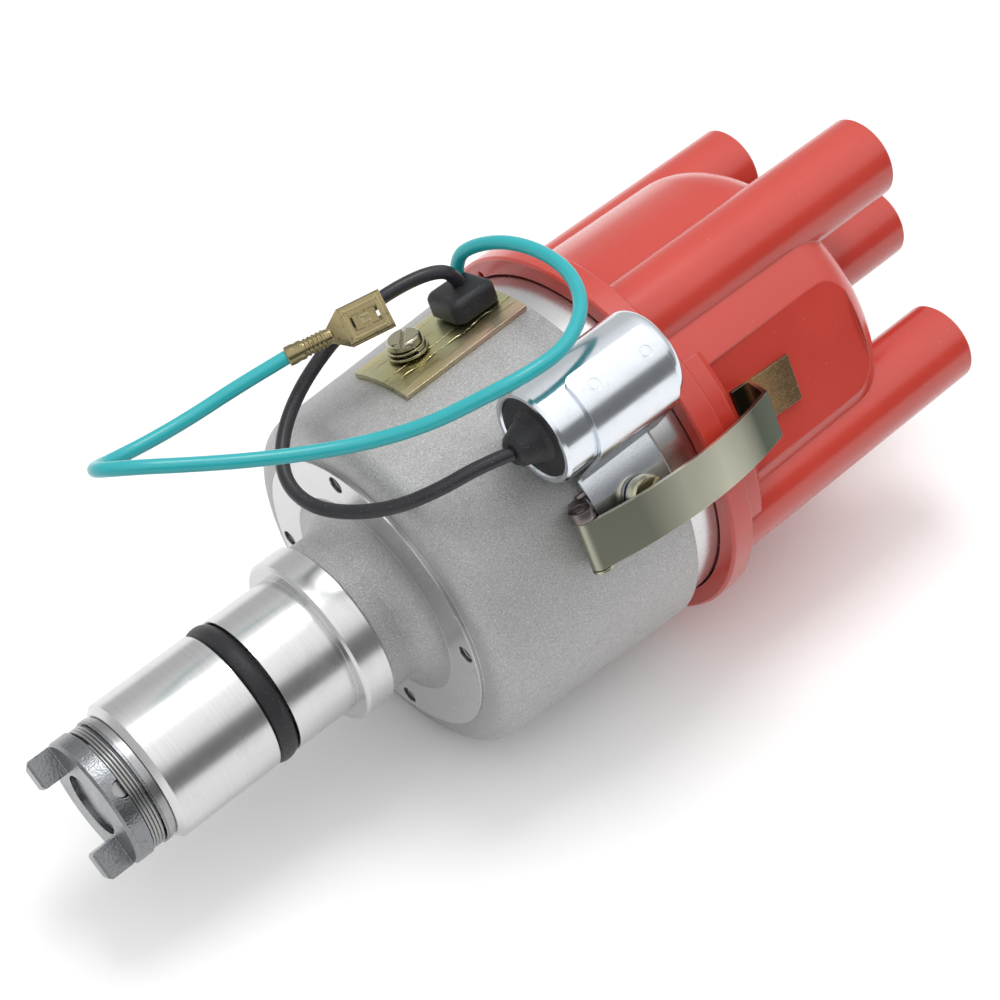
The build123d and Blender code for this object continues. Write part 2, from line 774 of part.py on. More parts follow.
with BuildPart() as breaker_pivot:
    with BuildSketch(Plane.XY.offset(plate_ledge_z)):
        with Locations((pivot_x, pivot_y)):
            Circle(pivot_radius - 0.5)
    extrude(amount=breaker_plate_thickness)
    with BuildSketch(Plane.XY.offset(breaker_top_z)):
        with Locations((pivot_x, pivot_y)):
            Circle(pivot_radius)
    extrude(amount=pivot_height)
save(breaker_pivot.part, "breaker_pivot")

# Moving arm: an eye on the pivot, a straight arm past the cam, its rubbing block and contact
arm_z = breaker_top_z + arm_lift
arm_inner_y = pivot_y - arm_thickness / 2

with BuildPart() as breaker_arm:
    with BuildSketch(Plane.XY.offset(arm_z)):
        with Locations((pivot_x, pivot_y)):
            Circle(arm_eye_radius)
        with Locations(((pivot_x + arm_tip_x) / 2, pivot_y)):
            Rectangle(arm_tip_x - pivot_x, arm_thickness)
        with Locations((pivot_x, pivot_y)):
            Circle(pivot_radius + running_clearance, mode=Mode.SUBTRACT)
    extrude(amount=arm_height)
save(breaker_arm.part, "breaker_arm")

block_y = cam_base_radius + block_clearance
with BuildPart() as rubbing_block:
    with BuildSketch(Plane.XY.offset(arm_z + 0.4)):
        with BuildLine():
            Polyline(
                (-block_width / 2, arm_inner_y),
                (-block_width / 8, block_y),
                (block_width / 8, block_y),
                (block_width / 2, arm_inner_y),
                close=True,
            )
        make_face()
    extrude(amount=arm_height - 0.8)
save(rubbing_block.part, "rubbing_block")

contact_x = arm_tip_x - contact_radius - 0.6
contact_mid_z = arm_z + arm_height / 2
moving_face_y = arm_inner_y - contact_thickness
with BuildPart() as moving_contact:
    with BuildSketch(Plane((contact_x, arm_inner_y, contact_mid_z), x_dir=(1, 0, 0), z_dir=(0, -1, 0))):
        Circle(contact_radius)
    extrude(amount=contact_thickness)
    chamfer(moving_contact.faces().sort_by(Axis.Y)[0].edges(), 0.3)
save(moving_contact.part, "moving_contact")

# Fixed contact on its bent bracket
fixed_face_y = moving_face_y - contact_gap
bracket_y = fixed_face_y - contact_thickness
with BuildPart() as fixed_contact:
    with BuildSketch(Plane((contact_x, fixed_face_y, contact_mid_z), x_dir=(1, 0, 0), z_dir=(0, -1, 0))):
        Circle(contact_radius)
    extrude(amount=contact_thickness)
    chamfer(fixed_contact.faces().sort_by(Axis.Y)[-1].edges(), 0.3)
save(fixed_contact.part, "fixed_contact")

with BuildPart() as fixed_contact_bracket:
    with BuildSketch(Plane.XY.offset(breaker_top_z)):
        with Locations((contact_x + 3, bracket_y - bracket_foot_width / 2)):
            Rectangle(bracket_foot_length, bracket_foot_width)
        with Locations((contact_x + contact_screw_offset, bracket_y - contact_screw_offset)):
            SlotCenterToCenter(2.5, 3.6, mode=Mode.SUBTRACT)
    extrude(amount=bracket_thickness)
    with BuildSketch(Plane.XY.offset(breaker_top_z)):
        with Locations((contact_x, bracket_y - bracket_thickness / 2)):
            Rectangle(2 * contact_radius + 1.4, bracket_thickness)
    extrude(amount=contact_mid_z + contact_radius + 0.5 - breaker_top_z)
save(fixed_contact_bracket.part, "fixed_contact_bracket")

with BuildPart() as contact_screw:
    with BuildSketch(Plane.XY.offset(breaker_top_z + bracket_thickness)):
        with Locations((contact_x + contact_screw_offset, bracket_y - contact_screw_offset)):
            Circle(contact_head_radius)
    extrude(amount=contact_head_height)
    with BuildSketch(Plane.XY.offset(breaker_top_z + bracket_thickness + contact_head_height)):
        with Locations((contact_x + contact_screw_offset, bracket_y - contact_screw_offset)):
            Rectangle(3 * contact_head_radius, 0.9)
    extrude(amount=-0.9, mode=Mode.SUBTRACT)
    with BuildSketch(Plane.XY.offset(breaker_top_z)):
        with Locations((contact_x + contact_screw_offset, bracket_y - contact_screw_offset)):
            Circle(contact_screw_radius)
    extrude(amount=bracket_thickness)
save(contact_screw.part, "contact_screw")

# Leaf spring that closes the contacts, held in a terminal post behind the pivot
post_x = pivot_x - 5.5
leaf_y = pivot_y + arm_eye_radius + leaf_thickness
arm_outer_y = pivot_y + arm_thickness / 2
with BuildPart() as breaker_spring:
    with BuildSketch(Plane.XY.offset(arm_z + 0.6)):
        with BuildLine():
            ThreePointArc((post_x, leaf_y), (pivot_x, leaf_y + 0.5), (2, arm_outer_y + 0.15))
            Line((2, arm_outer_y + 0.15), (2, arm_outer_y + 0.15 + leaf_thickness))
            ThreePointArc(
                (2, arm_outer_y + 0.15 + leaf_thickness),
                (pivot_x, leaf_y + 0.5 + leaf_thickness),
                (post_x, leaf_y + leaf_thickness),
            )
            Line((post_x, leaf_y + leaf_thickness), (post_x, leaf_y))
        make_face()
    extrude(amount=arm_height - 1.2)
save(breaker_spring.part, "breaker_spring")

with BuildPart() as spring_terminal:
    with BuildSketch(Plane.XY.offset(breaker_top_z)):
        with Locations((post_x - 1.4, leaf_y - 1)):
            Rectangle(2.6, 4)
    extrude(amount=arm_lift + arm_height)
save(spring_terminal.part, "spring_terminal")

# Rotor arm pushed on the cam's spigot
rotor_top_z = rotor_arm_z + rotor_arm_thickness
rotor_bore = cam_spigot_radius + rotor_clearance
with BuildPart() as rotor_arm:
    with BuildSketch(Plane.XZ):
        with BuildLine():
            Polyline(
                (0, cam_height_z + rotor_clearance),
                (rotor_bore, cam_height_z + rotor_clearance),
                (rotor_bore, rotor_bottom_z),
                (rotor_hub_radius, rotor_bottom_z),
                (rotor_hub_radius, rotor_hub_top_z),
                (rotor_neck_radius, rotor_arm_z),
                (rotor_neck_radius, rotor_top_z),
                (0, rotor_top_z),
                close=True,
            )
        make_face()
    revolve(axis=Axis.Z)
    fillet(rotor_arm.edges().filter_by(GeomType.CIRCLE).sort_by(Axis.Z)[0:1], 0.3)
    arm_frame = Plane(origin=(0, 0, rotor_arm_z), x_dir=(*polar(1, rotor_angle), 0), z_dir=(0, 0, 1))
    with BuildSketch(arm_frame) as rotor_outline:
        with BuildLine():
            Polyline(
                (-rotor_tail, -rotor_arm_width / 2),
                (0, -rotor_arm_width / 2 - 1.5),
                (rotor_reach, -rotor_contact_width / 2 - 1),
                (rotor_reach, rotor_contact_width / 2 + 1),
                (0, rotor_arm_width / 2 + 1.5),
                (-rotor_tail, rotor_arm_width / 2),
                close=True,
            )
        make_face()
        fillet(rotor_outline.vertices(), 1.2)
    extrude(amount=rotor_arm_thickness)
    # Shallow channel for the contact strip
    with BuildSketch(arm_frame.offset(rotor_arm_thickness)):
        with Locations(((rotor_reach - 3) / 2, 0)):
            Rectangle(rotor_reach + 3.2, rotor_contact_width + 0.2)
    extrude(amount=-rotor_contact_thickness / 2, mode=Mode.SUBTRACT)
save(rotor_arm.part, "rotor_arm")

strip_z = rotor_top_z - rotor_contact_thickness / 2
with BuildPart() as rotor_contact:
    with BuildSketch(arm_frame.offset(strip_z - rotor_arm_z)):
        with Locations(((rotor_reach + rotor_tip_thickness - 3) / 2, 0)):
            Rectangle(rotor_reach + rotor_tip_thickness + 3, rotor_contact_width)
    extrude(amount=rotor_contact_thickness)
    with BuildSketch(arm_frame.offset(strip_z - rotor_arm_z)):
        with Locations((rotor_reach + rotor_tip_thickness / 2 + 0.05, 0)):
            Rectangle(rotor_tip_thickness - 0.1, rotor_contact_width)
    extrude(amount=-rotor_tip_drop)
save(rotor_contact.part, "rotor_contact")

# Cap: flange, dome, four side towers and a taller centre tower in one moulding
cap_seat_z = bowl_height
strip_top_z = strip_z + rotor_contact_thickness
terminal_bottom_z = strip_z - rotor_tip_drop - terminal_overhang
brush_bottom_z = strip_top_z + brush_gap
brush_top_z = brush_bottom_z + brush_length
cap_bore_radius = band_radius + cap_fit_clearance
roof_inner_z = cap_body_top_z - cap_roof
centre_socket_z = centre_tower_height_z - socket_depth
side_socket_z = tower_height_z - socket_depth

with BuildPart() as distributor_cap:
    with BuildSketch(Plane.XZ):
        with BuildLine():
            Polyline(
                (cap_bore_radius, cap_bottom_z),
                (cap_flange_radius - edge_break, cap_bottom_z),
                (cap_flange_radius, cap_bottom_z + edge_break),
                (cap_flange_radius, cap_top_z - edge_break),
                (cap_flange_radius - edge_break, cap_top_z),
                (cap_body_radius + 0.4, cap_top_z),
                (cap_body_radius, cap_body_top_z - cap_shoulder),
            )
            RadiusArc(
                (cap_body_radius, cap_body_top_z - cap_shoulder),
                (cap_body_radius - cap_shoulder, cap_body_top_z),
                -cap_shoulder,
            )
            Polyline(
                (cap_body_radius - cap_shoulder, cap_body_top_z),
                (0, cap_body_top_z + cap_crown),
                (0, roof_inner_z),
                (cap_cavity_radius - cap_shoulder + 2, roof_inner_z),
                (cap_cavity_radius, roof_inner_z - cap_shoulder + 2),
                (cap_cavity_radius, cap_seat_z),
                (cap_bore_radius, cap_seat_z),
                (cap_bore_radius, cap_bottom_z),
            )
        make_face()
    revolve(axis=Axis.Z)
    # Raised ledges that the clips hold down
    for turn in (0, 180):
        with BuildSketch(radial_plane(clip_angle + turn - ledge_half_angle)):
            with BuildLine():
                Polyline(
                    (cap_body_radius - 2, cap_top_z - 0.5),
                    (ledge_radius, cap_top_z - 0.5),
                    (ledge_radius, cap_top_z + ledge_height - 2),
                    (ledge_radius - 2, cap_top_z + ledge_height),
                    (cap_body_radius - 2, cap_top_z + ledge_height),
                    close=True,
                )
            make_face()
        revolve(axis=Axis.Z, revolution_arc=2 * ledge_half_angle)
    # Flats behind the clips
    for turn in (0, 180):
        with BuildSketch(outward_plane(clip_angle + turn, facet_distance, cap_top_z + ledge_height)):
            with Locations((0, (facet_top_z - cap_top_z - ledge_height) / 2)):
                Rectangle(2 * facet_half_width, facet_top_z - cap_top_z - ledge_height)
        extrude(amount=cap_body_radius, mode=Mode.SUBTRACT)
    # Towers
    with BuildSketch(Plane.XY.offset(cap_seat_z + 0.5)):
        with PolarLocations(tower_circle, tower_count):
            Circle(tower_radius)
        Circle(cap_cavity_radius, mode=Mode.SUBTRACT)
    extrude(amount=tower_height_z - cap_seat_z - 0.5)
    with BuildSketch(Plane.XY.offset(roof_inner_z - cap_shoulder)):
        with PolarLocations(tower_circle, tower_count):
            Circle(tower_radius)
    extrude(amount=tower_height_z - roof_inner_z + cap_shoulder)
    with BuildSketch(Plane.XY.offset(cap_body_top_z - 0.5)):
        Circle(centre_tower_radius)
    extrude(amount=centre_tower_height_z - cap_body_top_z + 0.5)
    tower_ends = distributor_cap.faces().filter_by(Plane.XY).sort_by(Axis.Z)[-(tower_count + 1):]
    chamfer(tower_ends.edges(), tower_chamfer)
    # Brush holder under the roof
    with BuildSketch(Plane.XY.offset(brush_top_z - brush_length / 2)):
        Circle(brush_holder_radius)
    extrude(amount=roof_inner_z - brush_top_z + brush_length / 2 + 1)
    # Lead sockets
    with BuildSketch(Plane.XY.offset(tower_height_z)):
        with PolarLocations(tower_circle, tower_count):
            Circle(socket_radius)
    extrude(amount=-socket_depth, mode=Mode.SUBTRACT)
    with BuildSketch(Plane.XY.offset(centre_tower_height_z)):
        Circle(socket_radius)
    extrude(amount=-socket_depth, mode=Mode.SUBTRACT)
    # Seats for the moulded-in terminals, the brush and its spring
    with BuildSketch(Plane.XY.offset(terminal_bottom_z)):
        with PolarLocations(terminal_circle, tower_count):
            Circle(terminal_radius)
    extrude(amount=side_socket_z - terminal_bottom_z, mode=Mode.SUBTRACT)
    with BuildSketch(Plane.XY.offset(brush_bottom_z)):
        Circle(brush_radius + brush_clearance)
    extrude(amount=centre_socket_z - brush_bottom_z, mode=Mode.SUBTRACT)
    # Vent notch in the skirt's lower edge and the lug that sits in the bowl's notch
    with BuildSketch(Plane.XY.offset(cap_bottom_z)):
        with PolarLocations(cap_bore_radius + vent_radius / 2, 1, start_angle=vent_angle):
            Circle(vent_radius)
    extrude(amount=vent_depth, mode=Mode.SUBTRACT)
    lug_middle_z = cap_seat_z - cap_lug_depth / 2
    with BuildSketch(outward_plane(cap_lug_angle, inner_radius + cap_fit_clearance, lug_middle_z)):
        Rectangle(cap_lug_width, cap_lug_depth + 0.2)
    extrude(amount=bowl_wall + cap_fit_clearance)
save(distributor_cap.part, "distributor_cap")

with BuildPart() as side_terminals:
    with BuildSketch(Plane.XY.offset(terminal_bottom_z)):
        with PolarLocations(terminal_circle, tower_count):
            Circle(terminal_radius)
    extrude(amount=side_socket_z - terminal_bottom_z)
save(side_terminals.part, "side_terminals")

with BuildPart() as centre_terminal:
    with BuildSketch(Plane.XY.offset(centre_socket_z - centre_terminal_length)):
        Circle(brush_radius + brush_clearance)
    extrude(amount=centre_terminal_length)
save(centre_terminal.part, "centre_terminal")

with BuildPart() as carbon_brush:
    with BuildSketch(Plane.XY.offset(brush_bottom_z)):
        Circle(brush_radius)
    extrude(amount=brush_length)
    fillet(carbon_brush.faces().sort_by(Axis.Z)[0].edges(), 0.6)
save(carbon_brush.part, "carbon_brush")

brush_spring_length = centre_socket_z - centre_terminal_length - brush_top_z
brush_coils = 8
with BuildPart() as brush_spring:
    with BuildSketch(Plane.XZ):
        with BuildLine():
            coil_pitch = brush_spring_length / brush_coils
            wall_points = [(brush_radius - 0.7, brush_top_z)]
            for coil in range(brush_coils):
                wall_points.append((brush_radius - 0.2, brush_top_z + (coil + 0.5) * coil_pitch))
                wall_points.append((brush_radius - 0.7, brush_top_z + (coil + 1) * coil_pitch))
            Polyline(
                *wall_points,
                (brush_radius - 1.0, brush_top_z + brush_spring_length),
                (brush_radius - 1.0, brush_top_z),
                close=True,
            )
        make_face()
    revolve(axis=Axis.Z)
save(brush_spring.part, "brush_spring")

# Spring clips: a curl round the pin, the bowed strip, the fold and the flat tongue on the cap
curl_radius = clip_pin_radius + running_clearance + clip_thickness / 2
tongue_reach = facet_distance + tongue_gap
half_strip = clip_thickness / 2
outer_x = clip_pin_reach + curl_radius
for label, turn in (("front_clip", 0), ("rear_clip", 180)):
    with BuildPart() as clip:
        with BuildSketch(clip_plane(turn)):
            with BuildLine():
                CenterArc((clip_pin_reach, clip_pin_z), curl_radius - half_strip, 75, 285)
                ThreePointArc(
                    (outer_x - half_strip, clip_pin_z),
                    (clip_bow_reach - half_strip, clip_bow_z),
                    (clip_fold_reach - half_strip, clip_fold_z),
                )
                Polyline(
                    (clip_fold_reach - half_strip, clip_fold_z),
                    (tongue_reach + clip_thickness, clip_fold_z + 2.2),
                    (tongue_reach + clip_thickness, tongue_bottom_z),
                    (tongue_reach, tongue_bottom_z),
                    (tongue_reach, tongue_top_z),
                    (tongue_reach + clip_thickness, tongue_top_z),
                    (tongue_reach + clip_thickness, clip_fold_z + 3.2),
                    (clip_fold_reach + half_strip, clip_fold_z + 0.6),
                )
                ThreePointArc(
                    (clip_fold_reach + half_strip, clip_fold_z + 0.6),
                    (clip_bow_reach + half_strip, clip_bow_z),
                    (outer_x + half_strip, clip_pin_z),
                )
                start_angle = radians(75)
                CenterArc((clip_pin_reach, clip_pin_z), curl_radius + half_strip, 360, -285)
                Line(
                    (
                        clip_pin_reach + (curl_radius + half_strip) * cos(start_angle),
                        clip_pin_z + (curl_radius + half_strip) * sin(start_angle),
                    ),
                    (
                        clip_pin_reach + (curl_radius - half_strip) * cos(start_angle),
                        clip_pin_z + (curl_radius - half_strip) * sin(start_angle),
                    ),
                )
            make_face()
        extrude(amount=clip_width / 2, both=True)
        profile = clip_plane(turn)
        hole_z = clip_fold_z + tongue_hole_height
        hole_start = profile.origin + profile.x_dir * (tongue_reach - 1) + profile.y_dir * hole_z
        with BuildSketch(Plane(origin=hole_start, x_dir=profile.z_dir, z_dir=profile.x_dir)):
            Circle(tongue_hole_radius)
        extrude(amount=clip_thickness + 2, mode=Mode.SUBTRACT)
    save(clip.part, label)

# Clip brackets: a plate wrapped on the bowl with a knuckle beside the strip, open at its end
knuckle_span = clip_width / 2 + knuckle_gap
knuckle_outer = clip_pin_radius + knuckle_wall
knuckle_side = knuckle_span + knuckle_width / 2 - clip_shift
knuckle_inner_x = (bowl_radius(clip_pin_z) ** 2 - knuckle_side**2) ** 0.5 + 0.35
for label, turn in (("front_clip_bracket", 0), ("rear_clip_bracket", 180)):
    with BuildPart() as bracket:
        plate_heights = (clip_pin_z + knuckle_arm_height - 1, bracket_top_z)
        add(
            wrapped_strip(
                clip_angle + turn, bracket_half_angle, *plate_heights, seat_gap, bracket_plate_thickness
            )
        )
        knuckle_plane = clip_plane(turn).offset(knuckle_span + knuckle_width / 2)
        arm_top_z = clip_pin_z + knuckle_arm_height
        with BuildSketch(knuckle_plane):
            with Locations((clip_pin_reach, clip_pin_z)):
                Circle(knuckle_outer)
            with BuildLine():
                Polyline(
                    (knuckle_inner_x, arm_top_z),
                    (knuckle_inner_x, clip_pin_z + 0.4),
                    (clip_pin_reach, clip_pin_z + 0.4),
                    (clip_pin_reach, clip_pin_z + knuckle_outer),
                    (knuckle_inner_x + bracket_plate_thickness, arm_top_z),
                    close=True,
                )
            make_face()
            with Locations((clip_pin_reach, clip_pin_z)):
                Circle(clip_pin_radius, mode=Mode.SUBTRACT)
        extrude(amount=knuckle_width / 2, both=True)
        with BuildSketch(clip_plane(turn).offset(knuckle_span + knuckle_width)):
            with Locations((clip_pin_reach, clip_pin_z)):
                Circle(clip_pin_radius + knuckle_wall / 2)
        extrude(amount=-knuckle_recess, mode=Mode.SUBTRACT)
        with BuildSketch(outward_plane(fixing_screw_angle + turn, band_radius - 2, fixing_screw_z)):
            Circle(fixing_screw_radius + 0.1)
        extrude(amount=8, mode=Mode.SUBTRACT)
    save(bracket.part, label)

# Clip pins: held in the knuckle, with a thin head on the strip's other side
for label, turn in (("front_clip_pin", 0), ("rear_clip_pin", 180)):
    pin_start = clip_plane(turn).offset(-knuckle_span)
    with BuildPart() as clip_pin:
        with BuildSketch(pin_start):
            with Locations((clip_pin_reach, clip_pin_z)):
                Circle(clip_pin_radius)
        extrude(amount=2 * knuckle_span + knuckle_width - knuckle_recess)
        with BuildSketch(pin_start):
            with Locations((clip_pin_reach, clip_pin_z)):
                Circle(curl_radius + half_strip)
        extrude(amount=-pin_head_thickness)
    save(clip_pin.part, label)

# Condenser can with a rolled rim, its rubber seal and the saddle strap
condenser_reach = bowl_top_radius + condenser_seat_gap + condenser_radius
condenser_x, condenser_y = polar(condenser_reach, condenser_angle)
condenser_axis = Axis((condenser_x, condenser_y, 0), (0, 0, 1))
condenser_frame = Plane(
    origin=(condenser_x, condenser_y, 0),
    x_dir=(*polar(1, condenser_angle), 0),
    z_dir=(0, 0, 1),
)
condenser_side = Plane(
    origin=(condenser_x, condenser_y, 0),
    x_dir=(*polar(1, condenser_angle), 0),
    z_dir=radial_plane(condenser_angle).z_dir,
)

seal_face_z = condenser_start_z + condenser_recess
seal_bore = condenser_radius - condenser_rim - condenser_wall
with BuildPart() as condenser_can:
    with BuildSketch(condenser_side):
        with BuildLine():
            Polyline(
                (0, seal_face_z + seal_thickness),
                (seal_bore, seal_face_z + seal_thickness),
                (seal_bore, condenser_start_z + 0.3),
                (seal_bore + 0.3, condenser_start_z),
                (condenser_radius - 0.4, condenser_start_z),
                (condenser_radius, condenser_start_z + 0.6),
                (condenser_radius, condenser_end_z - condenser_end_round),
            )
            RadiusArc(
                (condenser_radius, condenser_end_z - condenser_end_round),
                (condenser_radius - condenser_end_round, condenser_end_z),
                -condenser_end_round,
            )
            Polyline(
                (condenser_radius - condenser_end_round, condenser_end_z),
                (0, condenser_end_z),
                (0, seal_face_z + seal_thickness),
            )
        make_face()
    revolve(axis=condenser_axis)
save(condenser_can.part, "condenser_can")

with BuildPart() as condenser_seal:
    with BuildSketch(condenser_side):
        with BuildLine():
            Polyline(
                (0, seal_face_z + seal_thickness),
                (seal_bore - seat_gap, seal_face_z + seal_thickness),
                (seal_bore - seat_gap, seal_face_z),
                (seal_nose_radius + 0.8, seal_face_z),
                (seal_nose_radius, seal_face_z - 0.8),
                (seal_tip_radius + 0.6, condenser_start_z - seal_nose_length + 0.6),
                (seal_tip_radius, condenser_start_z - seal_nose_length),
                (0, condenser_start_z - seal_nose_length),
                close=True,
            )
        make_face()
    revolve(axis=condenser_axis)
save(condenser_seal.part, "condenser_seal")

strap_inner = condenser_radius + seat_gap
strap_outer = strap_inner + strap_thickness
foot_bottom_z = clip_pin_z + knuckle_arm_height + 0.4
leg_end = bowl_radius(foot_bottom_z) + bracket_plate_thickness + 2 * seat_gap
leg_length = condenser_reach - (leg_end**2 - strap_outer**2) ** 0.5
foot_gap = bracket_plate_thickness + 2 * seat_gap
with BuildPart() as condenser_strap:
    # Saddle welded to the can, and a leg down to the foot
    with BuildSketch(condenser_frame.offset(strap_bottom_z)):
        with BuildLine():
            saddle_arc = 90 - strap_start_angle
            saddle_outer = CenterArc((0, 0), strap_outer, strap_start_angle, saddle_arc)
            saddle_inner = CenterArc((0, 0), strap_inner, strap_start_angle, saddle_arc)
            Line(saddle_outer @ 0, saddle_inner @ 0)
            Line(saddle_outer @ 1, saddle_inner @ 1)
        make_face()
        with Locations((-leg_length / 2, strap_outer - strap_thickness / 2)):
            Rectangle(leg_length, strap_thickness)
    extrude(amount=strap_top_z - strap_bottom_z)
    start_side = Axis((condenser_x, condenser_y, 0), condenser_frame.y_dir * -1)
    saddle_corners = condenser_strap.edges().filter_by(
        lambda edge: abs(edge.length - strap_thickness) < 0.01
    )
    fillet(saddle_corners.sort_by(start_side)[-2:], strap_corner)
    for weld_angle, weld_z in ((1, 84.0), (5, 95.0)):
        weld_x, weld_y = polar(strap_outer, condenser_angle + weld_angle)
        facing = (*polar(1, condenser_angle + weld_angle), 0)
        weld_point = (condenser_x + weld_x, condenser_y + weld_y, weld_z)
        with BuildSketch(Plane(origin=weld_point, x_dir=(0, 0, 1), z_dir=facing)):
            Circle(weld_radius)
            Circle(weld_radius - weld_width, mode=Mode.SUBTRACT)
        extrude(amount=-weld_depth, mode=Mode.SUBTRACT)
    leg_angle = condenser_angle + degrees(asin(strap_outer / bowl_top_radius))
    foot_start = leg_angle - 1.2
    foot_middle = (foot_start + strap_foot_end_angle) / 2
    foot_half = (strap_foot_end_angle - foot_start) / 2
    foot_top_z = strap_top_z - 3
    add(wrapped_strip(foot_middle, foot_half, foot_bottom_z, foot_top_z, foot_gap, strap_thickness))
    with BuildSketch(outward_plane(fixing_screw_angle, band_radius - 2, fixing_screw_z)):
        Circle(fixing_screw_radius + 0.1)
    extrude(amount=8, mode=Mode.SUBTRACT)
save(condenser_strap.part, "condenser_strap")

# Screws with washers for the condenser strap and the two clip brackets
head_top_z = fixing_screw_z + fixing_head_radius
screw_seat = bowl_radius(head_top_z) + foot_gap + strap_thickness + seat_gap
rear_seat = bowl_radius(head_top_z) + bracket_plate_thickness + 2 * seat_gap
for label, washer_label, turn, seat in (
    ("condenser_screw", "condenser_washer", 0, screw_seat),
    ("rear_clip_screw", "rear_clip_washer", 180, rear_seat),
):
    with BuildPart() as fixing_washer:
        with BuildSketch(outward_plane(fixing_screw_angle + turn, seat, fixing_screw_z)):
            Circle(fixing_head_radius - 0.2)
            Circle(fixing_screw_radius, mode=Mode.SUBTRACT)
            with Locations((0, fixing_head_radius)):
                Rectangle(0.5, 2 * fixing_head_radius - 1, mode=Mode.SUBTRACT)
        extrude(amount=fixing_washer_thickness)
    save(fixing_washer.part, washer_label)
    head_seat = seat + fixing_washer_thickness
    with BuildPart() as fixing_screw:
        with BuildSketch(outward_plane(fixing_screw_angle + turn, head_seat, fixing_screw_z)):
            Circle(fixing_head_radius)
        extrude(amount=fixing_head_height)
        screw_axis = Axis((0, 0, fixing_screw_z), (*polar(1, fixing_screw_angle + turn), 0))
        chamfer(fixing_screw.edges().sort_by(screw_axis)[-1], 0.4)
        head_top = head_seat + fixing_head_height
        with BuildSketch(outward_plane(fixing_screw_angle + turn, head_top, fixing_screw_z)):
            Rectangle(0.9, 3 * fixing_head_radius, rotation=35)
        extrude(amount=-0.9, mode=Mode.SUBTRACT)
        with BuildSketch(outward_plane(fixing_screw_angle + turn, head_seat, fixing_screw_z)):
            Circle(fixing_screw_radius - seat_gap)
        extrude(amount=inner_radius - head_seat)
    save(fixing_screw.part, label)

# Window plate with its screw, spring washer and the lead grommet
grommet_mid_z = (window_bottom_z + window_top_z) / 2 + 0.4
with BuildPart() as window_plate:
    add(
        wrapped_strip(
            window_angle,
            window_half_angle,
            window_plate_bottom_z,
            window_plate_top_z,
            seat_gap,
            window_plate_thickness,
        )
    )
    with BuildSketch(outward_plane(window_screw_angle, band_radius - 3, window_screw_z)):
        Circle(window_screw_radius + 0.1)
    extrude(amount=8, mode=Mode.SUBTRACT)
    with BuildSketch(outward_plane(grommet_angle, band_radius - 3, grommet_mid_z)):
        Rectangle(window_width - 2, window_top_z - window_bottom_z - 2)
    extrude(amount=8, mode=Mode.SUBTRACT)
save(window_plate.part, "window_plate")

washer_top_z = window_screw_z + window_washer_radius
window_seat = bowl_radius(washer_top_z) + window_plate_thickness + 3 * seat_gap
spring_washer_seat = window_seat + window_washer_thickness + seat_gap
with BuildPart() as window_washers:
    with BuildSketch(outward_plane(window_screw_angle, window_seat, window_screw_z)):
        Circle(window_washer_radius)
        Circle(window_screw_radius, mode=Mode.SUBTRACT)
    extrude(amount=window_washer_thickness)
    with BuildSketch(outward_plane(window_screw_angle, spring_washer_seat, window_screw_z)):
        Circle(spring_washer_radius)
        Circle(window_screw_radius, mode=Mode.SUBTRACT)
        with Locations((0, window_head_radius)):
            Rectangle(0.6, 2 * window_head_radius - 1, mode=Mode.SUBTRACT)
    extrude(amount=spring_washer_thickness)
save(window_washers.part, "window_washers")

head_start = spring_washer_seat + spring_washer_thickness + seat_gap
with BuildPart() as window_screw:
    with BuildSketch(outward_plane(window_screw_angle, head_start, window_screw_z)):
        Circle(window_head_radius)
    extrude(amount=window_head_height)
    outward = Axis((0, 0, window_screw_z), (*polar(1, window_screw_angle), 0))
    fillet(window_screw.edges().sort_by(outward)[-1], 0.6)
    with BuildSketch(outward_plane(window_screw_angle, head_start + window_head_height, window_screw_z)):
        Rectangle(0.9, 3 * window_head_radius, rotation=50)
    extrude(amount=-0.8, mode=Mode.SUBTRACT)
    with BuildSketch(outward_plane(window_screw_angle, head_start, window_screw_z)):
        Circle(window_screw_radius - seat_gap)
    extrude(amount=inner_radius - head_start)
save(window_screw.part, "window_screw")

grommet_neck_width = window_width - 2.4
grommet_neck_height = window_top_z - window_bottom_z - 2.4
grommet_seat = bowl_radius(window_top_z) + window_plate_thickness + 2 * seat_gap
with BuildPart() as lead_grommet:
    with BuildSketch(outward_plane(grommet_angle, grommet_seat, grommet_mid_z)):
        RectangleRounded(grommet_width, grommet_height, grommet_corner)
    extrude(amount=grommet_depth)
    grommet_out = Axis((0, 0, grommet_mid_z), (*polar(1, grommet_angle), 0))
    chamfer(lead_grommet.faces().sort_by(grommet_out)[-1].edges(), grommet_chamfer)
    with BuildSketch(outward_plane(grommet_angle, grommet_seat, grommet_mid_z)):
        RectangleRounded(grommet_neck_width, grommet_neck_height, min(1.0, 0.3 * grommet_neck_height))
    extrude(amount=-grommet_neck_depth - window_plate_thickness)
save(lead_grommet.part, "lead_grommet")

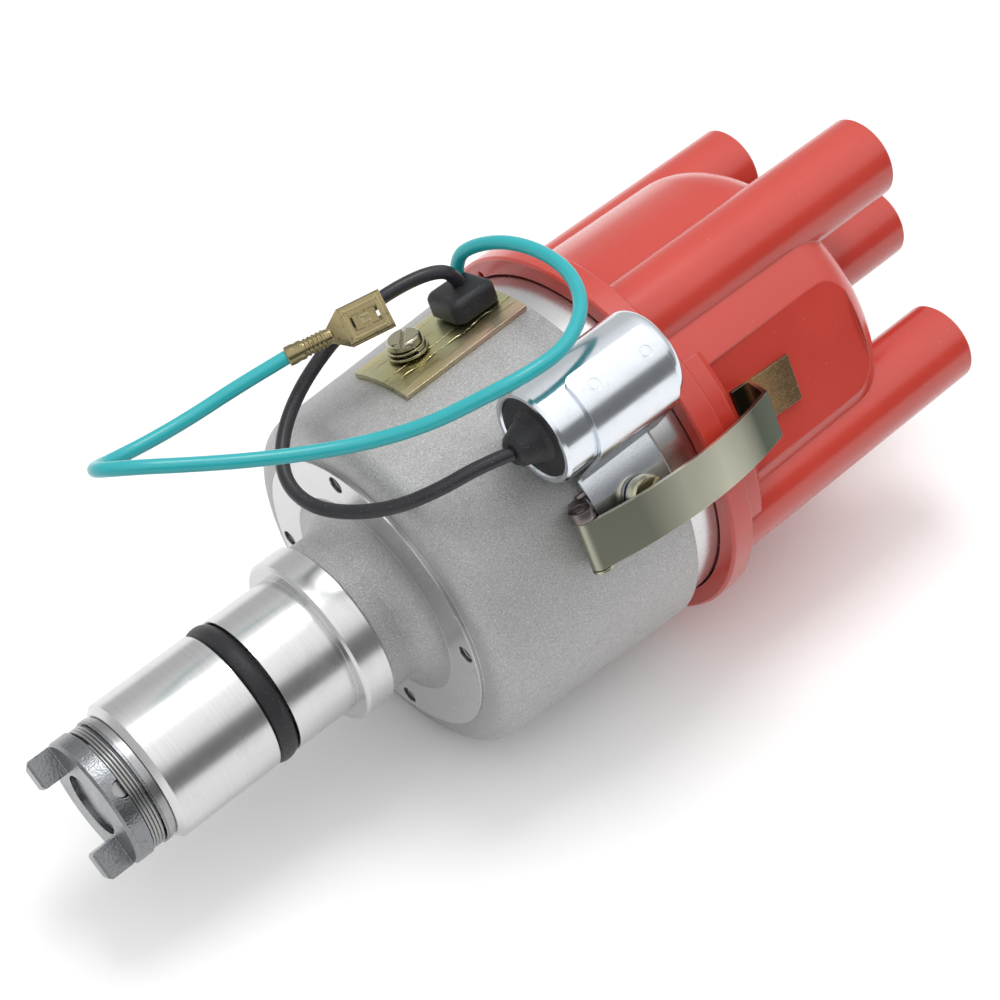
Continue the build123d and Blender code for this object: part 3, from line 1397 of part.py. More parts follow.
# Leads: straight runs joined by arcs as large as their runs allow
condenser_route = [
    (32.4, -22.2, 91.4),
    (37.8, -23.4, 89.9),
    (39.3, -25.3, 86.1),
    (38.5, -27.0, 79.1),
    (36.4, -27.9, 71.4),
    (33.9, -27.1, 63.6),
    (31.3, -24.6, 55.3),
    (29.4, -20.2, 48.4),
    (28.9, -14.2, 44.0),
    (29.7, -7.4, 43.5),
    (32.4, -0.8, 46.3),
    (36.4, 5.4, 51.5),
    (40.6, 9.2, 57.5),
    (43.5, 11.3, 63.9),
    (condenser_x, condenser_y, condenser_start_z - seal_nose_length),
]
coil_route = [
    (32.4, -25.3, 92.6),
    (35.9, -26.7, 93.3),
    (40.3, -24.4, 94.9),
    (45.3, -18.9, 96.9),
    (49.4, -11.3, 97.8),
    (52.7, -2.9, 96.6),
    (55.1, 4.6, 91.9),
    (56.1, 9.0, 83.9),
    (56.6, 9.3, 75.8),
    (54.7, 7.2, 68.6),
    (49.8, 3.1, 60.1),
    (46.1, -2.4, 51.9),
    (44.9, -7.9, 43.3),
    (45.0, -12.9, 35.3),
    (45.8, -17.6, 27.8),
    (46.4, -21.8, 21.6),
    (44.0, -26.6, 17.4),
    (39.0, -30.4, 17.8),
    (35.0, -32.1, 22.3),
    (33.9, -31.7, 29.5),
    (34.5, -30.7, 38.1),
    (36.6, -29.4, 47.3),
    (38.9, -27.5, 56.0),
]
terminal_end = (43.8, -21.9, 72.9)
terminal_facing = (0.81, 0.45, -0.38)


def corner_radii(points):
    """One radius for each corner: 0.45 of the shorter run over the tangent of half the turn."""
    radii = []
    for before, corner, after in zip(points, points[1:], points[2:]):
        first = Vector(*corner) - Vector(*before)
        second = Vector(*after) - Vector(*corner)
        turn = radians(first.get_angle(second))
        radii.append(0.45 * min(first.length, second.length) / tan(turn / 2))
    return radii


for label, route in (("condenser_lead", condenser_route), ("coil_lead", coil_route)):
    radii = corner_radii(route)
    with BuildPart() as lead:
        with BuildLine() as path:
            FilletPolyline(*route, radius=radii)
        with BuildSketch(Plane(origin=route[0], z_dir=path.line % 0)):
            Circle(lead_radius)
        sweep()
    length = path.wires()[0].length
    share = lead.part.volume / (pi * lead_radius**2 * length)
    print(label, "length", round(length, 1), "volume share", round(share, 4))
    print("radii", [round(r, 1) for r in radii])
    save(lead.part, label)

# Push-on terminal crimped to the coil lead
crimp_start = Vector(*coil_route[-1])
blade_way = (Vector(*terminal_end) - crimp_start).normalized()
blade_across = blade_way.cross(Vector(*terminal_facing)).normalized()
terminal_plane = Plane(origin=crimp_start, x_dir=blade_across, z_dir=blade_way)
with BuildPart() as lead_terminal:
    with BuildSketch(terminal_plane):
        Circle(crimp_radius)
    extrude(amount=crimp_length)
    with BuildSketch(terminal_plane.offset(crimp_length - 1)):
        Rectangle(2 * crimp_radius, 1.2)
    with BuildSketch(terminal_plane.offset(crimp_length + crimp_taper)):
        Rectangle(blade_width, 1.2)
    loft()
    with BuildSketch(terminal_plane.offset(crimp_length + crimp_taper)):
        Rectangle(blade_width, blade_height)
        Rectangle(blade_width - 2 * blade_wall, blade_height - 2 * blade_wall, mode=Mode.SUBTRACT)
        with Locations((0, blade_height / 2)):
            Rectangle(blade_width / 4, 2 * blade_wall + 0.2, mode=Mode.SUBTRACT)
    extrude(amount=blade_length)
save(lead_terminal.part, "lead_terminal")
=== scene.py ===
import json
import math

import bmesh
import bpy
from mathutils import Matrix, Vector


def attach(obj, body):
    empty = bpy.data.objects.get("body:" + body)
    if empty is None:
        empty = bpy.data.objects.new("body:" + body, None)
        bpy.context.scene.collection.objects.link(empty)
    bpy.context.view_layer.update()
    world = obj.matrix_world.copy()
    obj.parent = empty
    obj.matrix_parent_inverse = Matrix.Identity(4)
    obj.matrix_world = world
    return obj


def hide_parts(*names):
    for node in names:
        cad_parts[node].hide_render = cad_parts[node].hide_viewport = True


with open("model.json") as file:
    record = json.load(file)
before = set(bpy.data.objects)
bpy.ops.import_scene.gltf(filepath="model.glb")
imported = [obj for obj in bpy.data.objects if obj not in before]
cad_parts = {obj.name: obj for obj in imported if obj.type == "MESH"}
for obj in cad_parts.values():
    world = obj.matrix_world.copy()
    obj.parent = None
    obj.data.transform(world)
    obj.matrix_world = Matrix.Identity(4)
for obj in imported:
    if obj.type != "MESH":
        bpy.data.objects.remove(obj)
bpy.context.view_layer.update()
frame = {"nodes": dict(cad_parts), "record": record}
MM = 0.001

# Places that the solids share, in millimetres and degrees round the shaft
NECK_Z = 42.9
RING_Z = 52.2
RING_EDGE_Z = 53.1
RING_INNER_RADIUS = 20.3
RING_OUTER_RADIUS = 28.0
BAND_Z = 96.6
BOWL_TOP_Z = 107.0
BOWL_FOOT = (34.2, 53.1)
BOWL_TOP = (36.2, 96.6)
CLIP_ANGLE = 49.5
WINDOW_ANGLE = -30.5
WINDOW_HALF_ANGLE = 12.5


def polar(radius, angle, height=0.0):
    """A point in metres from its radius and height in millimetres and its angle round the shaft in degrees."""
    turn = math.radians(angle)
    return Vector((radius * math.cos(turn), radius * math.sin(turn), height)) * MM


# Camera: the photograph's viewing angle, with the unit lying on a table
CAMERA_PLACE = Vector((0.3525, 0.1467, -0.0826))
CAMERA_RIGHT = Vector((0.0634, 0.6747, 0.7354)).normalized()
CAMERA_DOWN = Vector((-0.5270, 0.6484, -0.5494)).normalized()
FOCAL_LENGTH = 82.56
SENSOR_WIDTH = 36.0

camera_data = bpy.data.cameras.new("camera")
camera_data.sensor_width = SENSOR_WIDTH
camera_data.lens = FOCAL_LENGTH
camera_data.clip_start = 0.01
camera_data.clip_end = 20.0
camera = bpy.data.objects.new("camera", camera_data)
bpy.context.scene.collection.objects.link(camera)
camera_back = CAMERA_RIGHT.cross(-CAMERA_DOWN).normalized()
camera_up = camera_back.cross(CAMERA_RIGHT).normalized()
camera_turn = Matrix((CAMERA_RIGHT, camera_up, camera_back)).transposed().to_4x4()
camera.matrix_world = Matrix.Translation(CAMERA_PLACE) @ camera_turn
bpy.context.scene.camera = camera

# The table touches the cap's flange and the bowl's lower corner, each given by radius and height
FLANGE_TOUCH = (38.75, 103.5)
BOWL_TOUCH = (34.75, 57.0)
TABLE_ANGLE = -11.0
table_slope = math.atan2(FLANGE_TOUCH[0] - BOWL_TOUCH[0], FLANGE_TOUCH[1] - BOWL_TOUCH[1])
table_side = polar(1.0 / MM, TABLE_ANGLE)
table_up = (table_side * math.cos(table_slope) + Vector((0, 0, 1)) * math.sin(table_slope)).normalized()
table_place = polar(FLANGE_TOUCH[0], TABLE_ANGLE + 180.0, FLANGE_TOUCH[1])
table_right = (CAMERA_RIGHT - table_up * CAMERA_RIGHT.dot(table_up)).normalized()
table_away = table_up.cross(table_right).normalized()


class Value:
    """A node's output that Python's operators work on."""

    def __init__(self, nodes, socket):
        self.nodes = nodes
        self.socket = socket

    def math(self, operation, *others, first=None):
        values = [self, *others] if first is None else [first, self]
        return self.nodes.node("ShaderNodeMath", dict(enumerate(values)), operation=operation)

    def __add__(self, other):
        return self.math("ADD", other)

    def __sub__(self, other):
        return self.math("SUBTRACT", other)

    def __rsub__(self, other):
        return self.math("SUBTRACT", first=other)

    def __mul__(self, other):
        return self.math("MULTIPLY", other)

    def __truediv__(self, other):
        return self.math("DIVIDE", other)

    def __pow__(self, other):
        return self.math("POWER", other)

    __radd__ = __add__
    __rmul__ = __mul__


class Nodes:
    """A node tree: node() adds any node, and its inputs take numbers, colours or other nodes' values."""

    def __init__(self, tree):
        self.tree = tree

    def feed(self, node, inputs):
        for name, value in inputs.items():
            if isinstance(value, Value):
                self.tree.links.new(value.socket, node.inputs[name])
            else:
                node.inputs[name].default_value = value

    def node(self, kind, inputs=None, output=0, stops=None, **settings):
        made = self.tree.nodes.new(kind)
        for name, value in settings.items():
            setattr(made, name, value)
        if stops:
            ramp = made.color_ramp
            while len(ramp.elements) < len(stops):
                ramp.elements.new(0.5)
            for element, (position, colour) in zip(ramp.elements, stops):
                element.position = position
                element.color = colour
        self.feed(made, inputs or {})
        return Value(self, made.outputs[output])

    def fade(self, value, low, high, start=0.0, end=1.0):
        """`start` up to `low`, `end` from `high` on, and a straight change between them."""
        inputs = {"Value": value, "From Min": low, "From Max": high, "To Min": start, "To Max": end}
        return self.node("ShaderNodeMapRange", inputs, clamp=True)

    def dot(self, vector, direction):
        inputs = {0: vector, 1: tuple(direction)}
        return self.node("ShaderNodeVectorMath", inputs, output="Value", operation="DOT_PRODUCT")

    def blend(self, share, first, second):
        mixed = self.tree.nodes.new("ShaderNodeMix")
        mixed.data_type = "RGBA"
        self.feed(mixed, {0: share, 6: first, 7: second})
        return Value(self, mixed.outputs[2])


class Finish(Nodes):
    """A material with one Principled shader, whose patterns follow Object coordinates."""

    def __init__(self, name):
        self.material = bpy.data.materials.new(name)
        self.material.use_nodes = True
        super().__init__(self.material.node_tree)
        self.tree.nodes.clear()
        self.output = self.tree.nodes.new("ShaderNodeOutputMaterial")
        self.shader = self.tree.nodes.new("ShaderNodeBsdfPrincipled")
        self.tree.links.new(self.shader.outputs[0], self.output.inputs["Surface"])
        self.place = self.node("ShaderNodeTexCoord", output="Object")

    def surface(self, **inputs):
        self.feed(self.shader, {name.replace("_", " "): value for name, value in inputs.items()})
        return self.material

    def axes(self):
        split = self.tree.nodes.new("ShaderNodeSeparateXYZ")
        self.tree.links.new(self.place.socket, split.inputs[0])
        return [Value(self, out) for out in split.outputs]

    def noise(self, size, detail=2.0, roughness=0.5, place=None):
        """Noise whose features are about `size` millimetres across."""
        inputs = {
            "Vector": place or self.place,
            "Scale": 1.0 / (size * MM),
            "Detail": detail,
            "Roughness": roughness,
        }
        return self.node("ShaderNodeTexNoise", inputs, output="Fac")

    def specks(self, size, low, high):
        """Separate small grains: 1 in a grain, 0 between the grains."""
        inputs = {"Vector": self.place, "Scale": 1.0 / (size * MM)}
        away = self.node("ShaderNodeTexVoronoi", inputs, output="Distance")
        return self.fade(away, low, high, 1.0, 0.0)

    def stretched(self, x, y, z):
        """Object coordinates scaled along each axis, for grain that runs one way."""
        return self.node("ShaderNodeMapping", {"Vector": self.place, "Scale": (x, y, z)})

    def within(self, value, low, high, soft):
        """1 between two heights or radii, 0 outside."""
        rise = self.fade(value, low - soft, low + soft)
        return rise * self.fade(value, high - soft, high + soft, 1.0, 0.0)

    def rounded(self, radius):
        """A normal that rounds sharp edges off by `radius` millimetres."""
        return self.node("ShaderNodeBevel", {"Radius": radius * MM}, samples=4)

    def edges(self, radius, low=0.02, high=0.25):
        """1 along sharp edges, within about `radius` millimetres, and 0 on the faces."""
        flat = self.node("ShaderNodeNewGeometry", output="Normal")
        inputs = {0: flat, 1: self.rounded(radius)}
        turn = self.node("ShaderNodeVectorMath", inputs, output="Value", operation="DOT_PRODUCT")
        return self.fade(turn, 1.0 - low, 1.0 - high)

    def bump(self, height, depth, after=None):
        """A bump whose relief is about `depth` millimetres deep."""
        inputs = {"Height": height, "Strength": 1.0, "Distance": depth * MM}
        if after is not None:
            inputs["Normal"] = after
        return self.node("ShaderNodeBump", inputs)


def grey(level, warm=0.0):
    return (level * (1 + warm), level, level * (1 - warm), 1.0)


def shade(colour, level):
    return tuple(level * c for c in colour) + (1.0,)


# Most of a soft noise's values lie between these two
CLOUD_RANGE = (0.3, 0.7)

# The housing: sand-blasted casting, with turned bands at the shank, shoulder, ring and rim
BELOW_SHANK_Z = -20.0
BAND_SOFTNESS = 0.05
CAST_HOLLOW = grey(0.32)
CAST_PEAK = grey(0.56)
CAST_CLOUD = grey(0.42, 0.01)
CAST_STAIN = grey(0.22, 0.02)
CAST_GLINT = grey(0.86)
CAST_RELIEF = 0.16
CAST_ROUGHNESS = 0.45
CAST_METALLIC = 0.94
TURNED_GROOVE = grey(0.56)
TURNED_RIDGE = grey(0.68)
TURNED_HANDLED = grey(0.50)
TURNED_RELIEF = 0.003
TURNED_ROUGHNESS_CHANGE = -0.21
TURNED_METALLIC_CHANGE = 0.06
HANDLED_ROUGHNESS_CHANGE = 0.06


def make_cast_housing():
    cast = Finish("cast_housing")
    x, y, z = cast.axes()
    radius = (x * x + y * y) ** 0.5
    soft = BAND_SOFTNESS * MM
    shank = cast.within(z, BELOW_SHANK_Z * MM, NECK_Z * MM, soft)
    ring = cast.within(z, (RING_Z - 0.1) * MM, (RING_EDGE_Z - 0.05) * MM, soft)
    ring = ring * cast.within(radius, RING_INNER_RADIUS * MM, (RING_OUTER_RADIUS + 0.1) * MM, soft)
    rim = cast.within(z, (BAND_Z - 0.02) * MM, (BOWL_TOP_Z + 1) * MM, soft)
    turned_face = (shank + ring + rim).math("MINIMUM", 1.0)
    grain = cast.noise(0.30, detail=4.0, roughness=0.75)
    glints = cast.specks(0.55, 0.10, 0.26)
    cloud = cast.noise(8.0, detail=4.0)
    stain = cast.fade(cast.noise(3.0, detail=5.0, roughness=0.7), 0.55, 0.75)
    lines = cast.noise(0.22, detail=3.0, place=cast.stretched(0.004, 0.004, 1.0))
    handling = cast.fade(cast.noise(5.0, detail=5.0, roughness=0.65), 0.5, 0.7)
    speckle = cast.fade(grain, 0.36, 0.66)
    cast_colour = cast.blend(speckle, CAST_HOLLOW, CAST_PEAK)
    cast_colour = cast.blend(cloud * 0.4, cast_colour, CAST_CLOUD)
    cast_colour = cast.blend(stain * 0.22, cast_colour, CAST_STAIN)
    # Painted glints: bright grains in the colour of the casting
    cast_colour = cast.blend(glints * 0.45, cast_colour, CAST_GLINT)
    turned_colour = cast.blend(lines, TURNED_GROOVE, TURNED_RIDGE)
    turned_colour = cast.blend(handling * 0.16, turned_colour, TURNED_HANDLED)
    relief = cast.bump((1.0 - turned_face) * grain, CAST_RELIEF, cast.rounded(0.25))
    relief = cast.bump(turned_face * lines, TURNED_RELIEF, relief)
    rough = turned_face * TURNED_ROUGHNESS_CHANGE + CAST_ROUGHNESS + handling * HANDLED_ROUGHNESS_CHANGE
    return cast.surface(
        Base_Color=cast.blend(turned_face, cast_colour, turned_colour),
        Metallic=turned_face * TURNED_METALLIC_CHANGE + CAST_METALLIC,
        Roughness=rough,
        Normal=relief,
    )


# The cap: glossy red moulding, with painted highlights along its edges and a little dust
RED_DEEP = (0.51, 0.038, 0.024, 1)
RED_BRIGHT = (0.60, 0.052, 0.033, 1)
RED_FLOW = (0.50, 0.030, 0.018, 1)
RED_EDGE_HIGHLIGHT = (0.82, 0.30, 0.24, 1)
RED_DUST = (0.75, 0.45, 0.40, 1)
RED_ROUGHNESS = (0.21, 0.27)


def make_red_plastic():
    red = Finish("red_plastic")
    cloud = red.noise(14.0, detail=3.0)
    flow = red.noise(0.9, detail=3.0, place=red.stretched(1.0, 1.0, 0.12))
    peel = red.noise(0.5, detail=3.0)
    dust = red.specks(2.6, 0.02, 0.045)
    edge = red.edges(0.40)
    colour = red.blend(cloud, RED_DEEP, RED_BRIGHT)
    colour = red.blend(flow * 0.2, colour, RED_FLOW)
    # Painted highlight: paler red along the sharp edges
    colour = red.blend(edge * 0.60, colour, RED_EDGE_HIGHLIGHT)
    colour = red.blend(dust * 0.5, colour, RED_DUST)
    return red.surface(
        Base_Color=colour,
        Roughness=red.fade(cloud, *CLOUD_RANGE, *RED_ROUGHNESS),
        Normal=red.bump(peel, 0.010, red.rounded(0.45)),
        Specular_IOR_Level=0.62,
        Coat_Weight=0.20,
        Coat_Roughness=0.14,
    )


def make_metal(
    name,
    colour,
    rough,
    grain_size=0.12,
    depth=0.004,
    spots=0.15,
    spot_colour=None,
    edge_highlight_share=0.2,
    edge_highlight_level=1.4,
):
    """Turned, stamped or plated metal: fine grain, cloudy gloss, a few darker spots and painted highlights
    that brighten the edges.
    """
    metal = Finish(name)
    grain = metal.noise(grain_size, detail=3.0)
    cloud = metal.noise(4.0, detail=4.0)
    spot = metal.fade(metal.noise(1.4, detail=5.0, roughness=0.7), 0.56, 0.72)
    base = metal.blend(cloud * 0.5, shade(colour, 1.0), shade(colour, 0.80))
    base = metal.blend(spot * spots, base, spot_colour or shade(colour, 0.50))
    # Painted highlight: a brighter copy of the colour along sharp edges
    base = metal.blend(metal.edges(0.20) * edge_highlight_share, base, shade(colour, edge_highlight_level))
    return metal.surface(
        Base_Color=base,
        Metallic=1.0,
        Roughness=metal.fade(cloud, *CLOUD_RANGE, rough * 0.8, rough * 1.2),
        Normal=metal.bump(grain, depth, metal.rounded(0.12)),
    )


def make_plain(
    name,
    colour,
    rough,
    grain_size=0.5,
    depth=0.02,
    variation=0.15,
    coat=0.0,
    specular=0.5,
    dust=0.0,
):
    """Rubber, plastic, fibre or felt: an even colour with fine relief and slight dust."""
    plain = Finish(name)
    grain = plain.noise(grain_size, detail=3.0)
    cloud = plain.noise(5.0, detail=3.0)
    faded = tuple(min(1.0, c * (1 + variation) + 0.02 * variation) for c in colour) + (1.0,)
    base = plain.blend(cloud, (*colour, 1.0), faded)
    if dust:
        base = plain.blend(plain.specks(0.55, 0.05, 0.16) * dust, base, grey(0.55))
    return plain.surface(
        Base_Color=base,
        Roughness=plain.fade(cloud, *CLOUD_RANGE, rough * 0.85, rough * 1.15),
        Normal=plain.bump(grain, depth),
        Coat_Weight=coat,
        Specular_IOR_Level=specular,
    )


# The window plate: yellow passivated zinc, pink along one edge, with two folds and faint creases along it,
# painted shade in the folds and painted highlights on its edges
ZINC_YELLOW = (0.50, 0.45, 0.22, 1)
ZINC_GREEN = (0.52, 0.54, 0.32, 1)
ZINC_PINK = (0.62, 0.42, 0.32, 1)
ZINC_CREASE = (0.24, 0.18, 0.07, 1)
ZINC_FOLD_SHADE = (0.20, 0.14, 0.06, 1)
ZINC_EDGE_HIGHLIGHT = (0.85, 0.80, 0.70, 1)
ZINC_ROUGHNESS = (0.24, 0.34)
PINK_WIDTH = 0.12
PINK_Z = (74.0, 88.0)
FOLD_INSETS = (0.11, 0.17)


def make_window_plate():
    zinc = Finish("window_plate_zinc")
    x, y, z = zinc.axes()
    turn = y.math("ARCTAN2", x)
    edge = math.radians(WINDOW_ANGLE + WINDOW_HALF_ANGLE)
    pink = zinc.fade(turn + (zinc.noise(3.0, detail=3.0) - 0.5) * 0.10, edge - PINK_WIDTH, edge)
    pink = pink * zinc.fade(z, PINK_Z[0] * MM, PINK_Z[1] * MM, 0.25, 1.0)
    green = zinc.fade(zinc.noise(7.0, detail=3.0), 0.4, 0.65)
    creases = zinc.noise(0.7, detail=4.0, roughness=0.6, place=zinc.stretched(1.0, 1.0, 0.06))
    wander = turn + (zinc.noise(5.0, detail=3.0) - 0.5) * 0.05
    folds = [(wander - (edge - inset)).math("ABSOLUTE") for inset in FOLD_INSETS]
    fold = zinc.fade(folds[0].math("MINIMUM", folds[1]), 0.002, 0.010, 1.0, 0.0)
    fold = fold * zinc.fade(zinc.noise(2.5, detail=3.0), 0.38, 0.55)
    colour = zinc.blend(green, ZINC_YELLOW, ZINC_GREEN)
    colour = zinc.blend(pink, colour, ZINC_PINK)
    colour = zinc.blend(zinc.fade(creases, 0.56, 0.68) * 0.60, colour, ZINC_CREASE)
    # Painted shade: darker along the two recessed folds
    colour = zinc.blend(fold * 0.75, colour, ZINC_FOLD_SHADE)
    # Painted highlight: paler along sharp edges
    colour = zinc.blend(zinc.edges(0.2) * 0.5, colour, ZINC_EDGE_HIGHLIGHT)
    return zinc.surface(
        Base_Color=colour,
        Metallic=1.0,
        Roughness=zinc.fade(green, 0.0, 1.0, *ZINC_ROUGHNESS),
        Normal=zinc.bump(1.0 - fold, 0.10, zinc.bump(creases, 0.03, zinc.rounded(0.15))),
    )


# The spring clips: olive strip, with painted shade towards both ends for the dark studio it mirrors and
# painted highlights on its edges, that turns brown and speckled on the tongue
STRIP_OLIVE = (0.74, 0.73, 0.58, 1)
STRIP_PALE = (0.82, 0.80, 0.65, 1)
STRIP_PAINTED_SHADE = (0.075, 0.088, 0.062, 1)
STRIP_EDGE_HIGHLIGHT = (0.80, 0.78, 0.62, 1)
TONGUE_BROWN = (0.13, 0.075, 0.03, 1)
TONGUE_TAN = (0.36, 0.22, 0.09, 1)
TONGUE_SPECKLE = (0.62, 0.50, 0.34, 1)
TONGUE_Z = (120.2, 121.6)
TAN_Z = (129.0, 122.0)
SHADED_TIP_Z = (103.0, 114.0)
SHADED_FOOT_Z = (94.0, 85.0)
SHADED_FOOT_SHARE = 0.62


def make_clip_strip():
    strip = Finish("clip_strip")
    z = strip.axes()[2]
    brush = strip.noise(0.10, detail=3.0, place=strip.stretched(1.0, 1.0, 0.10))
    cloud = strip.noise(5.0, detail=3.0)
    tongue_edge = z + (strip.noise(1.2, detail=4.0) - 0.5) * 0.8 * MM
    tongue = strip.fade(tongue_edge, TONGUE_Z[0] * MM, TONGUE_Z[1] * MM)
    speckle = strip.fade(strip.noise(0.22, detail=3.0, roughness=0.8), 0.54, 0.64)
    tan_edge = z + (strip.noise(1.6, detail=3.0) - 0.5) * 5 * MM
    tan = strip.fade(tan_edge, TAN_Z[0] * MM, TAN_Z[1] * MM)
    brown = strip.blend(tan, TONGUE_BROWN, TONGUE_TAN)
    brown = strip.blend(speckle * 0.65, brown, TONGUE_SPECKLE)
    olive = strip.blend(cloud, STRIP_OLIVE, STRIP_PALE)
    # Painted shade: darker towards the tip and the foot, where the bent strip mirrors the dark studio
    shaded_tip = strip.fade(z, SHADED_TIP_Z[0] * MM, SHADED_TIP_Z[1] * MM)
    shaded_foot = strip.fade(z, SHADED_FOOT_Z[0] * MM, SHADED_FOOT_Z[1] * MM, 0.0, SHADED_FOOT_SHARE)
    olive = strip.blend((shaded_tip + shaded_foot).math("MINIMUM", 1.0), olive, STRIP_PAINTED_SHADE)
    colour = strip.blend(tongue, olive, brown)
    # Painted highlight: paler along sharp edges
    colour = strip.blend(strip.edges(0.14) * 0.55, colour, STRIP_EDGE_HIGHLIGHT)
    return strip.surface(
        Base_Color=colour,
        Metallic=strip.fade(tongue, 0.0, 1.0, 1.0, 0.75),
        Roughness=strip.fade(tongue, 0.0, 1.0, 0.30, 0.42),
        Normal=strip.bump(brush, 0.003, strip.rounded(0.12)),
    )


# One finish for each of the record's materials
CAN_COLOUR = (0.76, 0.80, 0.85)
finishes = {
    "cast_housing": make_cast_housing(),
    "red_plastic": make_red_plastic(),
    "dark_plastic": make_plain(
        "dark_plastic",
        (0.055, 0.022, 0.013),
        0.38,
        grain_size=0.6,
        depth=0.01,
        coat=0.2,
    ),
    "black_rubber": make_plain(
        "black_rubber",
        (0.010, 0.010, 0.012),
        0.46,
        grain_size=0.25,
        depth=0.05,
        variation=0.6,
        specular=0.34,
        dust=0.30,
    ),
    "black_cable": make_plain(
        "black_cable",
        (0.013, 0.013, 0.016),
        0.36,
        depth=0.015,
        variation=0.8,
        specular=0.36,
        dust=0.30,
    ),
    "green_cable": make_plain(
        "green_cable",
        (0.012, 0.37, 0.40),
        0.34,
        grain_size=0.8,
        depth=0.010,
        variation=0.12,
        coat=0.20,
    ),
    "zinc_yellow": make_metal(
        "zinc_yellow",
        (0.58, 0.54, 0.36),
        0.26,
        grain_size=0.3,
        depth=0.006,
        spots=0.4,
        spot_colour=(0.42, 0.30, 0.24, 1),
    ),
    "steel": make_metal(
        "steel",
        (0.38, 0.38, 0.385),
        0.30,
        grain_size=0.25,
        depth=0.010,
        spots=0.5,
        edge_highlight_share=0.7,
    ),
    "spring_steel": make_metal(
        "spring_steel",
        (0.34, 0.34, 0.34),
        0.28,
        grain_size=0.10,
        depth=0.003,
        spots=0.2,
    ),
    "bronze": make_metal("bronze", (0.50, 0.32, 0.15), 0.45, grain_size=0.25, depth=0.02),
    "brass": make_metal(
        "brass",
        (0.30, 0.25, 0.135),
        0.19,
        grain_size=0.25,
        depth=0.010,
        spots=0.80,
        spot_colour=(0.08, 0.06, 0.025, 1),
        edge_highlight_share=1.0,
        edge_highlight_level=2.24,
    ),
    "can_metal": make_metal("can_metal", CAN_COLOUR, 0.17, grain_size=0.35, depth=0.006, spots=0.2),
    "tungsten": make_metal("tungsten", (0.55, 0.55, 0.57), 0.2),
    "carbon": make_plain("carbon", (0.02, 0.02, 0.02), 0.5, grain_size=0.2),
    "felt": make_plain("felt", (0.28, 0.24, 0.16), 0.95, grain_size=0.25, depth=0.15),
    "fibre": make_plain("fibre", (0.26, 0.13, 0.06), 0.6, grain_size=0.2),
}

# Pieces whose finish differs from the rest of their material
clip_strip = make_clip_strip()
olive_steel = make_metal(
    "olive_steel",
    (0.46, 0.43, 0.31),
    0.22,
    grain_size=0.3,
    depth=0.008,
    spots=0.4,
    spot_colour=(0.20, 0.16, 0.08, 1),
    edge_highlight_share=0.6,
)
# Painted shade: the brackets' dark purple-brown stands in for the shade in the gap between the clips and the
# bowl
bracket_shade_steel = make_metal(
    "bracket_shade_steel",
    (0.22, 0.19, 0.19),
    0.30,
    grain_size=0.4,
    depth=0.012,
    spots=0.7,
    spot_colour=(0.10, 0.07, 0.06, 1),
)
dog_steel = make_metal(
    "dog_steel",
    (0.24, 0.25, 0.26),
    0.26,
    grain_size=0.42,
    depth=0.075,
    spots=0.7,
    spot_colour=(0.10, 0.10, 0.105, 1),
    edge_highlight_share=1.0,
    edge_highlight_level=2.24,
)
strap_metal = make_metal(
    "strap_metal",
    CAN_COLOUR,
    0.18,
    grain_size=0.35,
    depth=0.006,
    spots=0.2,
    edge_highlight_share=0.4,
)
own_finishes = {
    "condenser_strap": strap_metal,
    "drive_dog": dog_steel,
    "front_clip": clip_strip,
    "rear_clip": clip_strip,
    "window_plate": make_window_plate(),
    "front_clip_bracket": bracket_shade_steel,
    "rear_clip_bracket": bracket_shade_steel,
    "front_clip_pin": olive_steel,
    "rear_clip_pin": olive_steel,
    "condenser_screw": olive_steel,
    "rear_clip_screw": olive_steel,
    "window_screw": olive_steel,
}

for entry in frame["record"]["subparts"]:
    node = frame["nodes"][entry["node"]]
    node.data.materials.clear()
    node.data.materials.append(own_finishes.get(entry["node"], finishes[entry["material_slot"]]))
bpy.ops.object.select_all(action="DESELECT")


# Leads: the routes of the solids, in millimetres, as smooth curves
LEAD_RADIUS = 1.25
LEAD_CORNERS = 6
LEAD_STEPS = 10
CONDENSER_ROUTE = [
    (32.4, -22.2, 91.4),
    (37.8, -23.4, 89.9),
    (39.3, -25.3, 86.1),
    (38.5, -27.0, 79.1),
    (36.4, -27.9, 71.4),
    (33.9, -27.1, 63.6),
    (31.3, -24.6, 55.3),
    (29.4, -20.2, 48.4),
    (28.9, -14.2, 44.0),
    (29.7, -7.4, 43.5),
    (32.4, -0.8, 46.3),
    (36.4, 5.4, 51.5),
    (40.6, 9.2, 57.5),
    (43.5, 11.3, 63.9),
    (43.41, 12.78, 69.5),
]
COIL_ROUTE = [
    (32.4, -25.3, 92.6),
    (35.9, -26.7, 93.3),
    (40.3, -24.4, 94.9),
    (45.3, -18.9, 96.9),
    (49.4, -11.3, 97.8),
    (52.7, -2.9, 96.6),
    (55.1, 4.6, 91.9),
    (56.1, 9.0, 83.9),
    (56.6, 9.3, 75.8),
    (54.7, 7.2, 68.6),
    (49.8, 3.1, 60.1),
    (46.1, -2.4, 51.9),
    (44.9, -7.9, 43.3),
    (45.0, -12.9, 35.3),
    (45.8, -17.6, 27.8),
    (46.4, -21.8, 21.6),
    (44.0, -26.6, 17.4),
    (39.0, -30.4, 17.8),
    (35.0, -32.1, 22.3),
    (33.9, -31.7, 29.5),
    (34.5, -30.7, 38.1),
    (36.6, -29.4, 47.3),
    (38.9, -27.5, 56.0),
]


